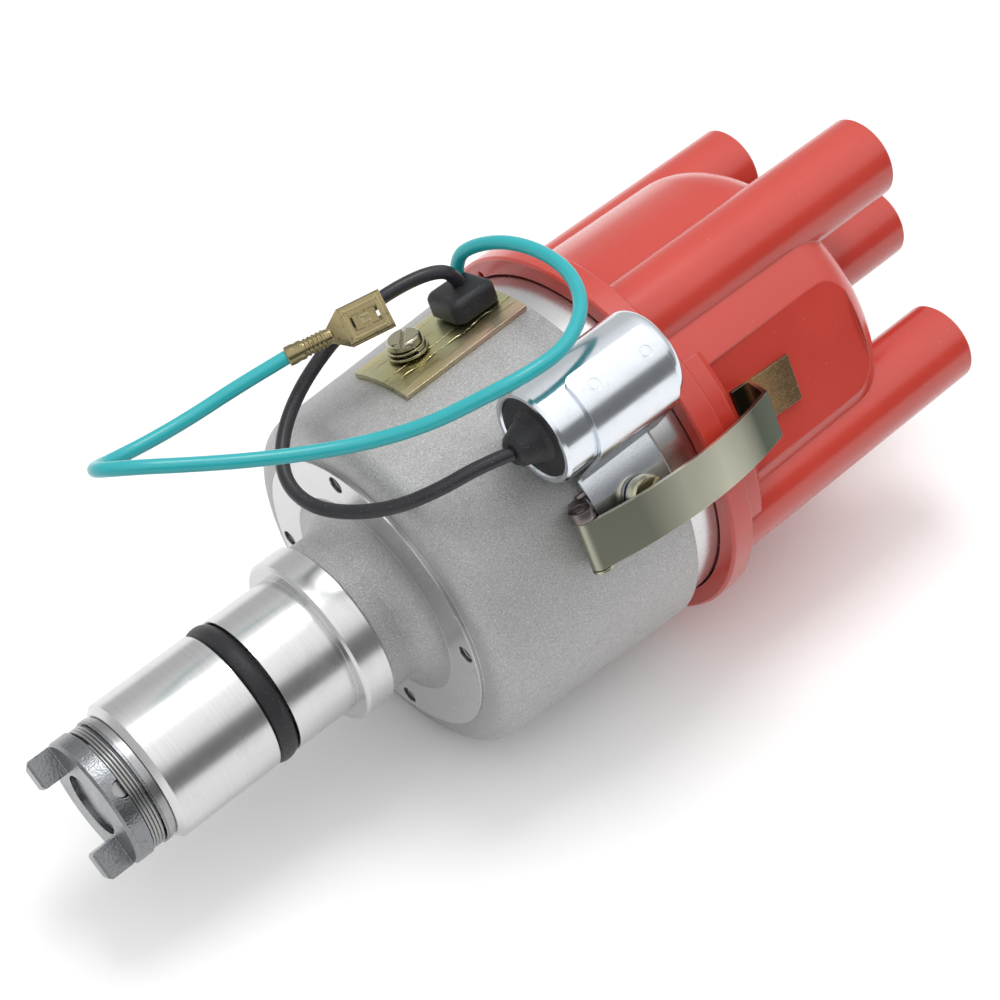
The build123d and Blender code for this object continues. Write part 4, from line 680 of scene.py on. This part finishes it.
def make_lead(name, route, slot, replaced):
    curve = bpy.data.curves.new(name, "CURVE")
    curve.dimensions = "3D"
    curve.bevel_depth = LEAD_RADIUS * MM
    curve.bevel_resolution = LEAD_CORNERS
    curve.use_fill_caps = True
    spline = curve.splines.new("NURBS")
    spline.points.add(len(route) - 1)
    for point, place in zip(spline.points, route):
        point.co = (*(MM * value for value in place), 1.0)
    spline.order_u = 3
    spline.use_endpoint_u = True
    spline.resolution_u = LEAD_STEPS
    lead = bpy.data.objects.new(name, curve)
    bpy.context.scene.collection.objects.link(lead)
    curve.materials.append(finishes[slot])
    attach(lead, "housing")
    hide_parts(replaced)
    return lead


condenser_lead = make_lead("condenser_lead_cover", CONDENSER_ROUTE, "black_cable", "condenser_lead")
coil_lead = make_lead("coil_lead_cover", COIL_ROUTE, "green_cable", "coil_lead")


# Pieces that stand for plain solids are modelled in millimetres and then seated in the frame
def start_piece():
    if bpy.context.mode != "OBJECT":
        bpy.ops.object.mode_set(mode="OBJECT")
    bpy.ops.object.select_all(action="DESELECT")


def apply_modifier(piece, kind, **settings):
    added = piece.modifiers.new(kind.lower(), kind)
    for name, value in settings.items():
        setattr(added, name, value)
    bpy.ops.object.modifier_apply(modifier=added.name)


def close_and_turn_out():
    """Merges doubled corners, closes open ends and turns the faces outwards."""
    bpy.ops.object.mode_set(mode="EDIT")
    bpy.ops.mesh.select_all(action="SELECT")
    bpy.ops.mesh.remove_doubles(threshold=0.001)
    bpy.ops.mesh.fill_holes(sides=0)
    bpy.ops.mesh.select_all(action="SELECT")
    bpy.ops.mesh.normals_make_consistent(inside=False)
    bpy.ops.object.mode_set(mode="OBJECT")


def raise_piece(piece, height):
    piece.location = (0, 0, height)
    bpy.ops.object.transform_apply(location=True, rotation=False, scale=False)


def join_pieces(pieces):
    start_piece()
    for piece in pieces:
        piece.select_set(True)
    bpy.context.view_layer.objects.active = pieces[0]
    bpy.ops.object.join()
    return bpy.context.view_layer.objects.active


def seat_piece(piece, name, place, body, slot, replaced, finish=None, sharp=40):
    piece.name = name
    piece.data.name = name
    piece.matrix_world = place @ Matrix.Scale(MM, 4)
    bpy.ops.object.transform_apply(location=True, rotation=True, scale=True)
    bpy.ops.object.shade_smooth_by_angle(angle=math.radians(sharp))
    piece.data.materials.clear()
    piece.data.materials.append(finish or finishes[slot])
    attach(piece, body)
    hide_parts(replaced)


def place_on(origin, x_way, z_way):
    """A frame with its origin in millimetres and two of its directions."""
    z_way = Vector(z_way).normalized()
    x_way = Vector(x_way)
    x_way = (x_way - z_way * x_way.dot(z_way)).normalized()
    turn = Matrix((x_way, z_way.cross(x_way), z_way)).transposed().to_4x4()
    return Matrix.Translation(Vector(origin) * MM) @ turn


def facing_out(angle, reach, height):
    """The frame that faces outwards at an angle and height: local X runs round the part and local Y up."""
    a = math.radians(angle)
    out = (math.cos(a), math.sin(a), 0)
    return place_on((reach * out[0], reach * out[1], height), (-out[1], out[0], 0), out)


def bowl_radius(height):
    share = (height - BOWL_FOOT[1]) / (BOWL_TOP[1] - BOWL_FOOT[1])
    return BOWL_FOOT[0] + (BOWL_TOP[0] - BOWL_FOOT[0]) * share


def wind(radius, half_width, half_height, turns, pitch, corners=4, steps=48):
    """A strip or wire wound round local Z from its section, starting on local X at height 0."""
    start_piece()
    bpy.ops.mesh.primitive_circle_add(vertices=corners, radius=1.0)
    wound = bpy.context.object
    bpy.ops.object.mode_set(mode="EDIT")
    bpy.ops.mesh.select_all(action="SELECT")
    if corners == 4:
        bpy.ops.transform.rotate(value=math.radians(45), orient_axis="Z", center_override=(0, 0, 0))
        bpy.ops.transform.resize(value=(2**0.5, 2**0.5, 1))
    bpy.ops.transform.resize(value=(half_width, half_height, 1))
    bpy.ops.transform.rotate(value=math.radians(90), orient_axis="X", center_override=(0, 0, 0))
    bpy.ops.transform.translate(value=(radius, 0, 0))
    bpy.ops.object.mode_set(mode="OBJECT")
    count = round(turns * steps)
    apply_modifier(
        wound,
        "SCREW",
        angle=turns * 2 * math.pi,
        screw_offset=turns * pitch,
        steps=count,
        render_steps=count,
        use_merge_vertices=pitch == 0,
    )
    close_and_turn_out()
    return wound


# The wire spring round the dog, over the ends of its pin
DOG_SPRING_RADIUS = 11.71
DOG_SPRING_BOTTOM_Z = -6.16
DOG_SPRING_SEAT = 0.02
DOG_WIRE_RADIUS = 0.31
DOG_WIRE_CORNERS = 10
DOG_WIRE_STEPS = 64
DOG_SPRING_TURNS = 3.55
DOG_SPRING_PITCH = 0.63
DOG_SPRING_START = math.radians(-20.0)
dog_spring = wind(
    DOG_SPRING_RADIUS,
    DOG_WIRE_RADIUS,
    DOG_WIRE_RADIUS,
    DOG_SPRING_TURNS,
    DOG_SPRING_PITCH,
    DOG_WIRE_CORNERS,
    DOG_WIRE_STEPS,
)
spring_place = place_on(
    (0, 0, DOG_SPRING_BOTTOM_Z + DOG_WIRE_RADIUS + DOG_SPRING_SEAT),
    (math.cos(DOG_SPRING_START), math.sin(DOG_SPRING_START), 0),
    (0, 0, 1),
)
seat_piece(dog_spring, "dog_spring_wire", spring_place, "shaft", "spring_steel", "dog_retaining_spring")

# The flat washer under the window plate's screw, and the spring washer on it, whose ends stand apart
WINDOW_SCREW_ANGLE = -32.5
WINDOW_SCREW_Z = 76.3
WINDOW_PLATE_THICKNESS = 1.0
WINDOW_SEAT_GAP = 0.15
FLAT_WASHER_BORE_RADIUS = 2.05
FLAT_WASHER_RADIUS = 3.8
FLAT_WASHER_THICKNESS = 0.5
FLAT_WASHER_ROUNDING = 0.12
SPRING_WASHER_BORE_RADIUS = 2.1
SPRING_WASHER_RADIUS = 3.5
SPRING_WASHER_HEIGHT = 1.0
SPRING_WASHER_TURNS = 1.3
SPRING_WASHER_FILL = 0.98
SPRING_WASHER_STRIP_SHARE = 0.86
SPRING_WASHER_PITCH_SHARE = 1.04
SPRING_WASHER_ROUNDING = 0.09
SPRING_WASHER_GAP = 0.05

flat_washer = wind(
    (FLAT_WASHER_BORE_RADIUS + FLAT_WASHER_RADIUS) / 2,
    (FLAT_WASHER_RADIUS - FLAT_WASHER_BORE_RADIUS) / 2,
    FLAT_WASHER_THICKNESS / 2,
    1,
    0,
)
apply_modifier(flat_washer, "BEVEL", width=FLAT_WASHER_ROUNDING, segments=2, limit_method="ANGLE")
raise_piece(flat_washer, FLAT_WASHER_THICKNESS / 2)
strip_height = SPRING_WASHER_HEIGHT / (SPRING_WASHER_TURNS + 1) * SPRING_WASHER_FILL
spring_washer = wind(
    (SPRING_WASHER_BORE_RADIUS + SPRING_WASHER_RADIUS) / 2,
    (SPRING_WASHER_RADIUS - SPRING_WASHER_BORE_RADIUS) / 2,
    strip_height / 2 * SPRING_WASHER_STRIP_SHARE,
    SPRING_WASHER_TURNS,
    strip_height * SPRING_WASHER_PITCH_SHARE,
)
apply_modifier(spring_washer, "BEVEL", width=SPRING_WASHER_ROUNDING, segments=2, limit_method="ANGLE")
raise_piece(spring_washer, FLAT_WASHER_THICKNESS + SPRING_WASHER_GAP + strip_height / 2)
window_seat = bowl_radius(WINDOW_SCREW_Z + FLAT_WASHER_RADIUS) + WINDOW_PLATE_THICKNESS + WINDOW_SEAT_GAP
seat_piece(
    join_pieces([flat_washer, spring_washer]),
    "window_washer_stack",
    facing_out(WINDOW_SCREW_ANGLE, window_seat, WINDOW_SCREW_Z),
    "housing",
    "steel",
    "window_washers",
    olive_steel,
)


# The push-on terminal: ribbed crimp, tapered neck and a box of rolled sheet with a locking tongue.
# Its local Z runs from the lead to the blade's end, and its face with the tongue looks down local Y.
def add_block(low, high):
    """A block between two corners, ready to be joined or cut away."""
    start_piece()
    middle = [(a + b) / 2 for a, b in zip(low, high)]
    bpy.ops.mesh.primitive_cube_add(size=1.0, location=middle)
    block = bpy.context.object
    bpy.ops.object.mode_set(mode="EDIT")
    bpy.ops.mesh.select_all(action="SELECT")
    bpy.ops.transform.resize(value=[b - a for a, b in zip(low, high)])
    bpy.ops.object.mode_set(mode="OBJECT")
    bpy.ops.object.transform_apply(location=True, rotation=False, scale=False)
    return block


def cut_away(piece, blocks):
    start_piece()
    piece.select_set(True)
    bpy.context.view_layer.objects.active = piece
    for block in blocks:
        apply_modifier(piece, "BOOLEAN", operation="DIFFERENCE", solver="EXACT", object=block)
        bpy.data.objects.remove(block)


def make_barrel(rings, flatten):
    """A round barrel along local Z from its rings of radius and height, pressed a little flat."""
    start_piece()
    bpy.ops.mesh.primitive_circle_add(vertices=BARREL_CORNERS, radius=rings[0][0], fill_type="NGON")
    made = bpy.context.object
    bpy.ops.object.mode_set(mode="EDIT")
    bpy.ops.mesh.select_all(action="SELECT")
    bpy.ops.transform.translate(value=(0, 0, rings[0][1]))
    for (radius, height), (next_radius, next_height) in zip(rings, rings[1:]):
        bpy.ops.mesh.extrude_region_move(TRANSFORM_OT_translate={"value": (0, 0, next_height - height)})
        bpy.ops.transform.resize(value=(next_radius / radius, next_radius / radius, 1))
    bpy.ops.mesh.select_all(action="SELECT")
    bpy.ops.transform.resize(value=(1, flatten, 1), center_override=(0, 0, 0))
    bpy.ops.mesh.normals_make_consistent(inside=False)
    bpy.ops.object.mode_set(mode="OBJECT")
    return made


def roll_sheet(points, length, start):
    """Sheet metal whose cross-section runs through the points, drawn along local Z."""
    start_piece()
    bpy.ops.mesh.primitive_plane_add(size=1.0)
    sheet = bpy.context.object
    bpy.ops.object.mode_set(mode="EDIT")
    bpy.ops.mesh.select_all(action="SELECT")
    bpy.ops.mesh.merge(type="CENTER")
    bpy.ops.transform.translate(value=(points[0][0], points[0][1], start))
    for (x, y), (next_x, next_y) in zip(points, points[1:]):
        bpy.ops.mesh.extrude_region_move(TRANSFORM_OT_translate={"value": (next_x - x, next_y - y, 0)})
    bpy.ops.mesh.select_all(action="SELECT")
    bpy.ops.mesh.extrude_region_move(TRANSFORM_OT_translate={"value": (0, 0, length)})
    bpy.ops.mesh.select_all(action="SELECT")
    bpy.ops.mesh.normals_make_consistent(inside=False)
    bpy.ops.object.mode_set(mode="OBJECT")
    apply_modifier(sheet, "SOLIDIFY", thickness=SHEET, offset=0.0, use_even_offset=True)
    close_and_turn_out()
    return sheet


TERMINAL_END = (43.8, -21.9, 72.9)
TERMINAL_FACING = (0.81, 0.45, -0.38)
BARREL_CORNERS = 32
CRIMP_FLATTEN = 0.92
CRIMP_RINGS = [(1.62, 0.0), (1.73, 0.15), (1.75, 1.2), (1.62, 1.9), (1.70, 2.5), (1.70, 2.9), (1.45, 3.2)]
CRIMP_RIBS = 5
RIB_START = 3.4
RIB_PITCH = 0.78
RIB_FOOT_RADIUS = 1.42
RIB_RADIUS = 1.58
RIB_STEPS = (0.16, 0.44, 0.60)
CRIMP_END_RINGS = [(1.40, 7.5), (1.30, 8.3)]
SHEET = 0.42
BLADE_WIDTH = 7.0
BLADE_HEIGHT = 2.6
BLADE_START = 10.6
BLADE_END = 18.6
ROLL_RADIUS = 0.85
CORNER_RADIUS = 0.45
BEND_STEPS = 5
ROLL_EDGE = [(0.80, -0.35), (0.95, 0.0)]
SLOT_Z = (12.35, 16.85)
SLOT_HALF_LENGTH = 1.45
SLOT_HALF_WIDTH = 0.24
TONGUE_CUT_X = 1.32
TONGUE_CUT_HALF_WIDTH = 0.13
TONGUE_CUTS_Z = [(12.35, 13.9), (15.3, 16.85)]
FRAME_Z = (11.55, 17.65)
FRAME_X = 2.35
FRAME_HALF_LENGTH = 2.75
FRAME_RIB_HEIGHT = 0.26
END_RIB_HALF_WIDTH = 0.18
SIDE_RIB_HALF_WIDTH = 0.16
TONGUE_RIB_X = 0.55
TONGUE_RIB_Z = (13.9, 15.3)
TONGUE_RIB_HALF_WIDTH = 0.15
TONGUE_RIB_HEIGHT = 0.34
TONGUE_BAR_HALF_LENGTH = 0.70
TONGUE_BAR_Z = (13.76, 14.06)
RIB_ROOT = 0.2
NECK_START = 7.7
NECK_HALF_WIDTH = 1.25
NECK_FACE = -0.62
NECK_BACK = -0.15
NECK_OVERLAP = 0.1
NECK_ROUNDING = 0.14

crimp_rings = list(CRIMP_RINGS)
for rib in range(CRIMP_RIBS):
    start = RIB_START + RIB_PITCH * rib
    crimp_rings += [
        (RIB_FOOT_RADIUS, start),
        (RIB_RADIUS, start + RIB_STEPS[0]),
        (RIB_RADIUS, start + RIB_STEPS[1]),
        (RIB_FOOT_RADIUS, start + RIB_STEPS[2]),
    ]
barrel = make_barrel(crimp_rings + CRIMP_END_RINGS, CRIMP_FLATTEN)

half = BLADE_WIDTH / 2 - SHEET / 2
low = -BLADE_HEIGHT / 2 + SHEET / 2
high = BLADE_HEIGHT / 2 - SHEET / 2
section = [(x, high + y) for x, y in ROLL_EDGE]
bends = [math.radians(90 / BEND_STEPS * step) for step in range(BEND_STEPS + 1)]
for a in bends:
    x = half - ROLL_RADIUS + ROLL_RADIUS * math.sin(a)
    section.append((x, high - ROLL_RADIUS + ROLL_RADIUS * math.cos(a)))
for a in bends[1:]:
    x = half - CORNER_RADIUS + CORNER_RADIUS * math.cos(a)
    section.append((x, low + CORNER_RADIUS - CORNER_RADIUS * math.sin(a)))
section += [(-x, y) for x, y in reversed(section)]
box = roll_sheet(section, BLADE_END - BLADE_START, BLADE_START)


def face_block(x, z, lowest, highest):
    """A block on the terminal's face between two places across it, two along it and two through it."""
    return add_block((x[0], lowest, z[0]), (x[1], highest, z[1]))


cuts = []
for z in SLOT_Z:
    ends = (z - SLOT_HALF_WIDTH, z + SLOT_HALF_WIDTH)
    cuts.append(face_block((-SLOT_HALF_LENGTH, SLOT_HALF_LENGTH), ends, -BLADE_HEIGHT, low + SHEET))
for ends in TONGUE_CUTS_Z:
    for x in (-TONGUE_CUT_X, TONGUE_CUT_X):
        sides = (x - TONGUE_CUT_HALF_WIDTH, x + TONGUE_CUT_HALF_WIDTH)
        cuts.append(face_block(sides, ends, -BLADE_HEIGHT, low + SHEET))
cut_away(box, cuts)

face = -BLADE_HEIGHT / 2
root = face + RIB_ROOT
frame_top = face - FRAME_RIB_HEIGHT
tongue_top = face - TONGUE_RIB_HEIGHT
ribs = []
for z in FRAME_Z:
    ends = (z - END_RIB_HALF_WIDTH, z + END_RIB_HALF_WIDTH)
    ribs.append(face_block((-FRAME_HALF_LENGTH, FRAME_HALF_LENGTH), ends, frame_top, root))
for x in (-FRAME_X, FRAME_X):
    ribs.append(face_block((x - SIDE_RIB_HALF_WIDTH, x + SIDE_RIB_HALF_WIDTH), FRAME_Z, frame_top, root))
for x in (-TONGUE_RIB_X, TONGUE_RIB_X):
    sides = (x - TONGUE_RIB_HALF_WIDTH, x + TONGUE_RIB_HALF_WIDTH)
    ribs.append(face_block(sides, TONGUE_RIB_Z, tongue_top, root))
ribs.append(face_block((-TONGUE_BAR_HALF_LENGTH, TONGUE_BAR_HALF_LENGTH), TONGUE_BAR_Z, tongue_top, root))

neck_ends = (NECK_START, BLADE_START + NECK_OVERLAP)
neck = face_block((-NECK_HALF_WIDTH, NECK_HALF_WIDTH), neck_ends, NECK_FACE, NECK_BACK)
bpy.ops.object.mode_set(mode="EDIT")
bpy.ops.mesh.select_all(action="DESELECT")
mesh = bmesh.from_edit_mesh(neck.data)
for neck_face in mesh.faces:
    neck_face.select_set(neck_face.normal.z > 0.9)
bmesh.update_edit_mesh(neck.data)
bpy.ops.transform.resize(value=(BLADE_WIDTH / (2 * NECK_HALF_WIDTH), 1, 1))
bpy.ops.transform.translate(value=(0, face - NECK_FACE, 0))
bpy.ops.object.mode_set(mode="OBJECT")
apply_modifier(neck, "BEVEL", width=NECK_ROUNDING, segments=2, limit_method="ANGLE")

crimp_start = Vector(COIL_ROUTE[-1])
blade_way = (Vector(TERMINAL_END) - crimp_start).normalized()
terminal_place = place_on(crimp_start, blade_way.cross(Vector(TERMINAL_FACING)), blade_way)
terminal = join_pieces([box, barrel, neck, *ribs])
seat_piece(terminal, "terminal_sheet", terminal_place, "housing", "brass", "lead_terminal", sharp=30)

# The grommet, and the clips' brackets, whose plates end just past the clips
GROMMET_ROUNDING = 0.45
BRACKET_ROUNDING = 0.12
BRACKET_REACH = 7.0
SAME_CORNER = 0.002
SAME_FACE_ANGLE = math.radians(1.0)
SHARP_EDGE_ANGLE = 0.6
SMOOTH_ANGLE = math.radians(40)


def soften(node, width, segments=2, finish=None, trim_angle=None):
    """A copy of a solid that stands for it, with rounded edges, and cut off past an angle round the shaft."""
    start_piece()
    source = frame["nodes"][node]
    copy = source.copy()
    copy.data = source.data.copy()
    copy.parent = None
    bpy.context.scene.collection.objects.link(copy)
    copy.select_set(True)
    bpy.context.view_layer.objects.active = copy
    bpy.ops.object.mode_set(mode="EDIT")
    bpy.ops.mesh.select_all(action="SELECT")
    bpy.ops.mesh.remove_doubles(threshold=SAME_CORNER * MM)
    bpy.ops.mesh.dissolve_limited(angle_limit=SAME_FACE_ANGLE)
    if trim_angle is not None:
        bpy.ops.mesh.select_all(action="SELECT")
        side = polar(1.0 / MM, trim_angle + 90.0)
        bpy.ops.mesh.bisect(plane_co=(0, 0, 0), plane_no=tuple(side), use_fill=True, clear_outer=True)
    bpy.ops.object.mode_set(mode="OBJECT")
    apply_modifier(
        copy,
        "BEVEL",
        width=width * MM,
        segments=segments,
        limit_method="ANGLE",
        angle_limit=SHARP_EDGE_ANGLE,
    )
    bpy.ops.object.shade_smooth_by_angle(angle=SMOOTH_ANGLE)
    copy.name = node + "_rounded"
    copy.data.name = copy.name
    if finish:
        copy.data.materials.clear()
        copy.data.materials.append(finish)
    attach(copy, "housing")
    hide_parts(node)


soften("lead_grommet", GROMMET_ROUNDING, segments=3)
for side_name, clip_angle in (("front", CLIP_ANGLE), ("rear", CLIP_ANGLE + 180.0)):
    soften(
        side_name + "_clip_bracket",
        BRACKET_ROUNDING,
        finish=bracket_shade_steel,
        trim_angle=clip_angle + BRACKET_REACH,
    )


# The table: matt for the object's light, near white where it is seen or mirrored, and clear from behind
TABLE_SIZE = 1.6
TABLE_COLOUR = 0.72
SEEN_COLOUR = 0.98
start_piece()
bpy.ops.mesh.primitive_plane_add(size=TABLE_SIZE)
table = bpy.context.object
table.name = "table"
table_turn = Matrix((table_right, table_away, table_up)).transposed().to_4x4()
table.data.transform(Matrix.Translation(table_place) @ table_turn)
table_finish = Finish("table")
rays = table_finish.tree.nodes.new("ShaderNodeLightPath")
seen = Value(table_finish, rays.outputs["Is Camera Ray"])
for ray in ("Is Glossy Ray", "Is Transmission Ray"):
    seen = seen.math("MAXIMUM", Value(table_finish, rays.outputs[ray]))
matt = table_finish.node("ShaderNodeBsdfDiffuse", {"Color": grey(TABLE_COLOUR)})
bright = table_finish.node("ShaderNodeBsdfDiffuse", {"Color": grey(SEEN_COLOUR)})
front = table_finish.node("ShaderNodeMixShader", {0: seen, 1: matt, 2: bright})
clear = table_finish.node("ShaderNodeBsdfTransparent")
behind = table_finish.node("ShaderNodeNewGeometry", output="Backfacing")
both = table_finish.node("ShaderNodeMixShader", {0: behind, 1: front, 2: clear})
table_finish.tree.nodes.remove(table_finish.shader)
table_finish.tree.links.new(both.socket, table_finish.output.inputs["Surface"])
table.data.materials.append(table_finish.material)

# The studio round the unit's axis: light levels by the angle from straight above the table, where plus is
# the side that the camera is on. It is brightest a little to that side, with a dark strip low down there.
STUDIO_LIGHT = [
    (-180, 0.45),
    (-95, 0.64),
    (-60, 0.66),
    (-42, 0.88),
    (-25, 1.02),
    (-5, 1.22),
    (13, 1.34),
    (31, 1.30),
    (46, 1.12),
    (52, 0.98),
    (60, 0.22),
    (88, 0.18),
    (100, 0.35),
    (125, 0.45),
]
STUDIO_ENDS = 0.66
STUDIO_END_RANGE = (0.70, 0.98)
WORLD_STRENGTH = 2.0
world = bpy.data.worlds.new("studio")
bpy.context.scene.world = world
world.use_nodes = True
studio = Nodes(world.node_tree)
backdrop = world.node_tree.nodes["Background"]
way = studio.node("ShaderNodeTexCoord", output="Generated")
unit_axis = (Vector((0, 0, 1)) - table_up * table_up.z).normalized()
near_side = unit_axis.cross(table_up).normalized()
if near_side.dot(table_away) > 0:
    near_side = -near_side
lean = studio.dot(way, near_side).math("ARCTAN2", studio.dot(way, table_up))
stops = [((angle + 180) / 360, grey(level / WORLD_STRENGTH)) for angle, level in STUDIO_LIGHT]
band = studio.node("ShaderNodeValToRGB", {0: lean / (2 * math.pi) + 0.5}, stops=stops)
along = studio.fade(studio.dot(way, unit_axis).math("ABSOLUTE"), *STUDIO_END_RANGE)
light = studio.blend(along, band, grey(STUDIO_ENDS / WORLD_STRENGTH))
world_rays = world.node_tree.nodes.new("ShaderNodeLightPath")
camera_sees = Value(studio, world_rays.outputs["Is Camera Ray"])
light = studio.blend(camera_sees, light, grey(1.0 / WORLD_STRENGTH))
world.node_tree.links.new(light.socket, backdrop.inputs["Color"])
backdrop.inputs["Strength"].default_value = WORLD_STRENGTH

# One soft box, placed across the unit, along it and above the table, and aimed at the unit's middle
OBJECT_MIDDLE = Vector((0.0, 0.0, 0.085))
SOFT_BOX_NEAR = -0.12
SOFT_BOX_ALONG = 0.12
SOFT_BOX_UP = 0.84
SOFT_BOX_SIZE = 0.32
SOFT_BOX_POWER = 2.2
soft_box = bpy.data.lights.new("soft_box_above", "AREA")
soft_box.size = SOFT_BOX_SIZE
soft_box.energy = SOFT_BOX_POWER
lamp = bpy.data.objects.new("soft_box_above", soft_box)
bpy.context.scene.collection.objects.link(lamp)
lamp.location = OBJECT_MIDDLE + near_side * SOFT_BOX_NEAR + unit_axis * SOFT_BOX_ALONG + table_up * SOFT_BOX_UP
lamp.rotation_euler = (OBJECT_MIDDLE - lamp.location).to_track_quat("-Z", "Y").to_euler()

bpy.context.scene.view_settings.view_transform = "Standard"
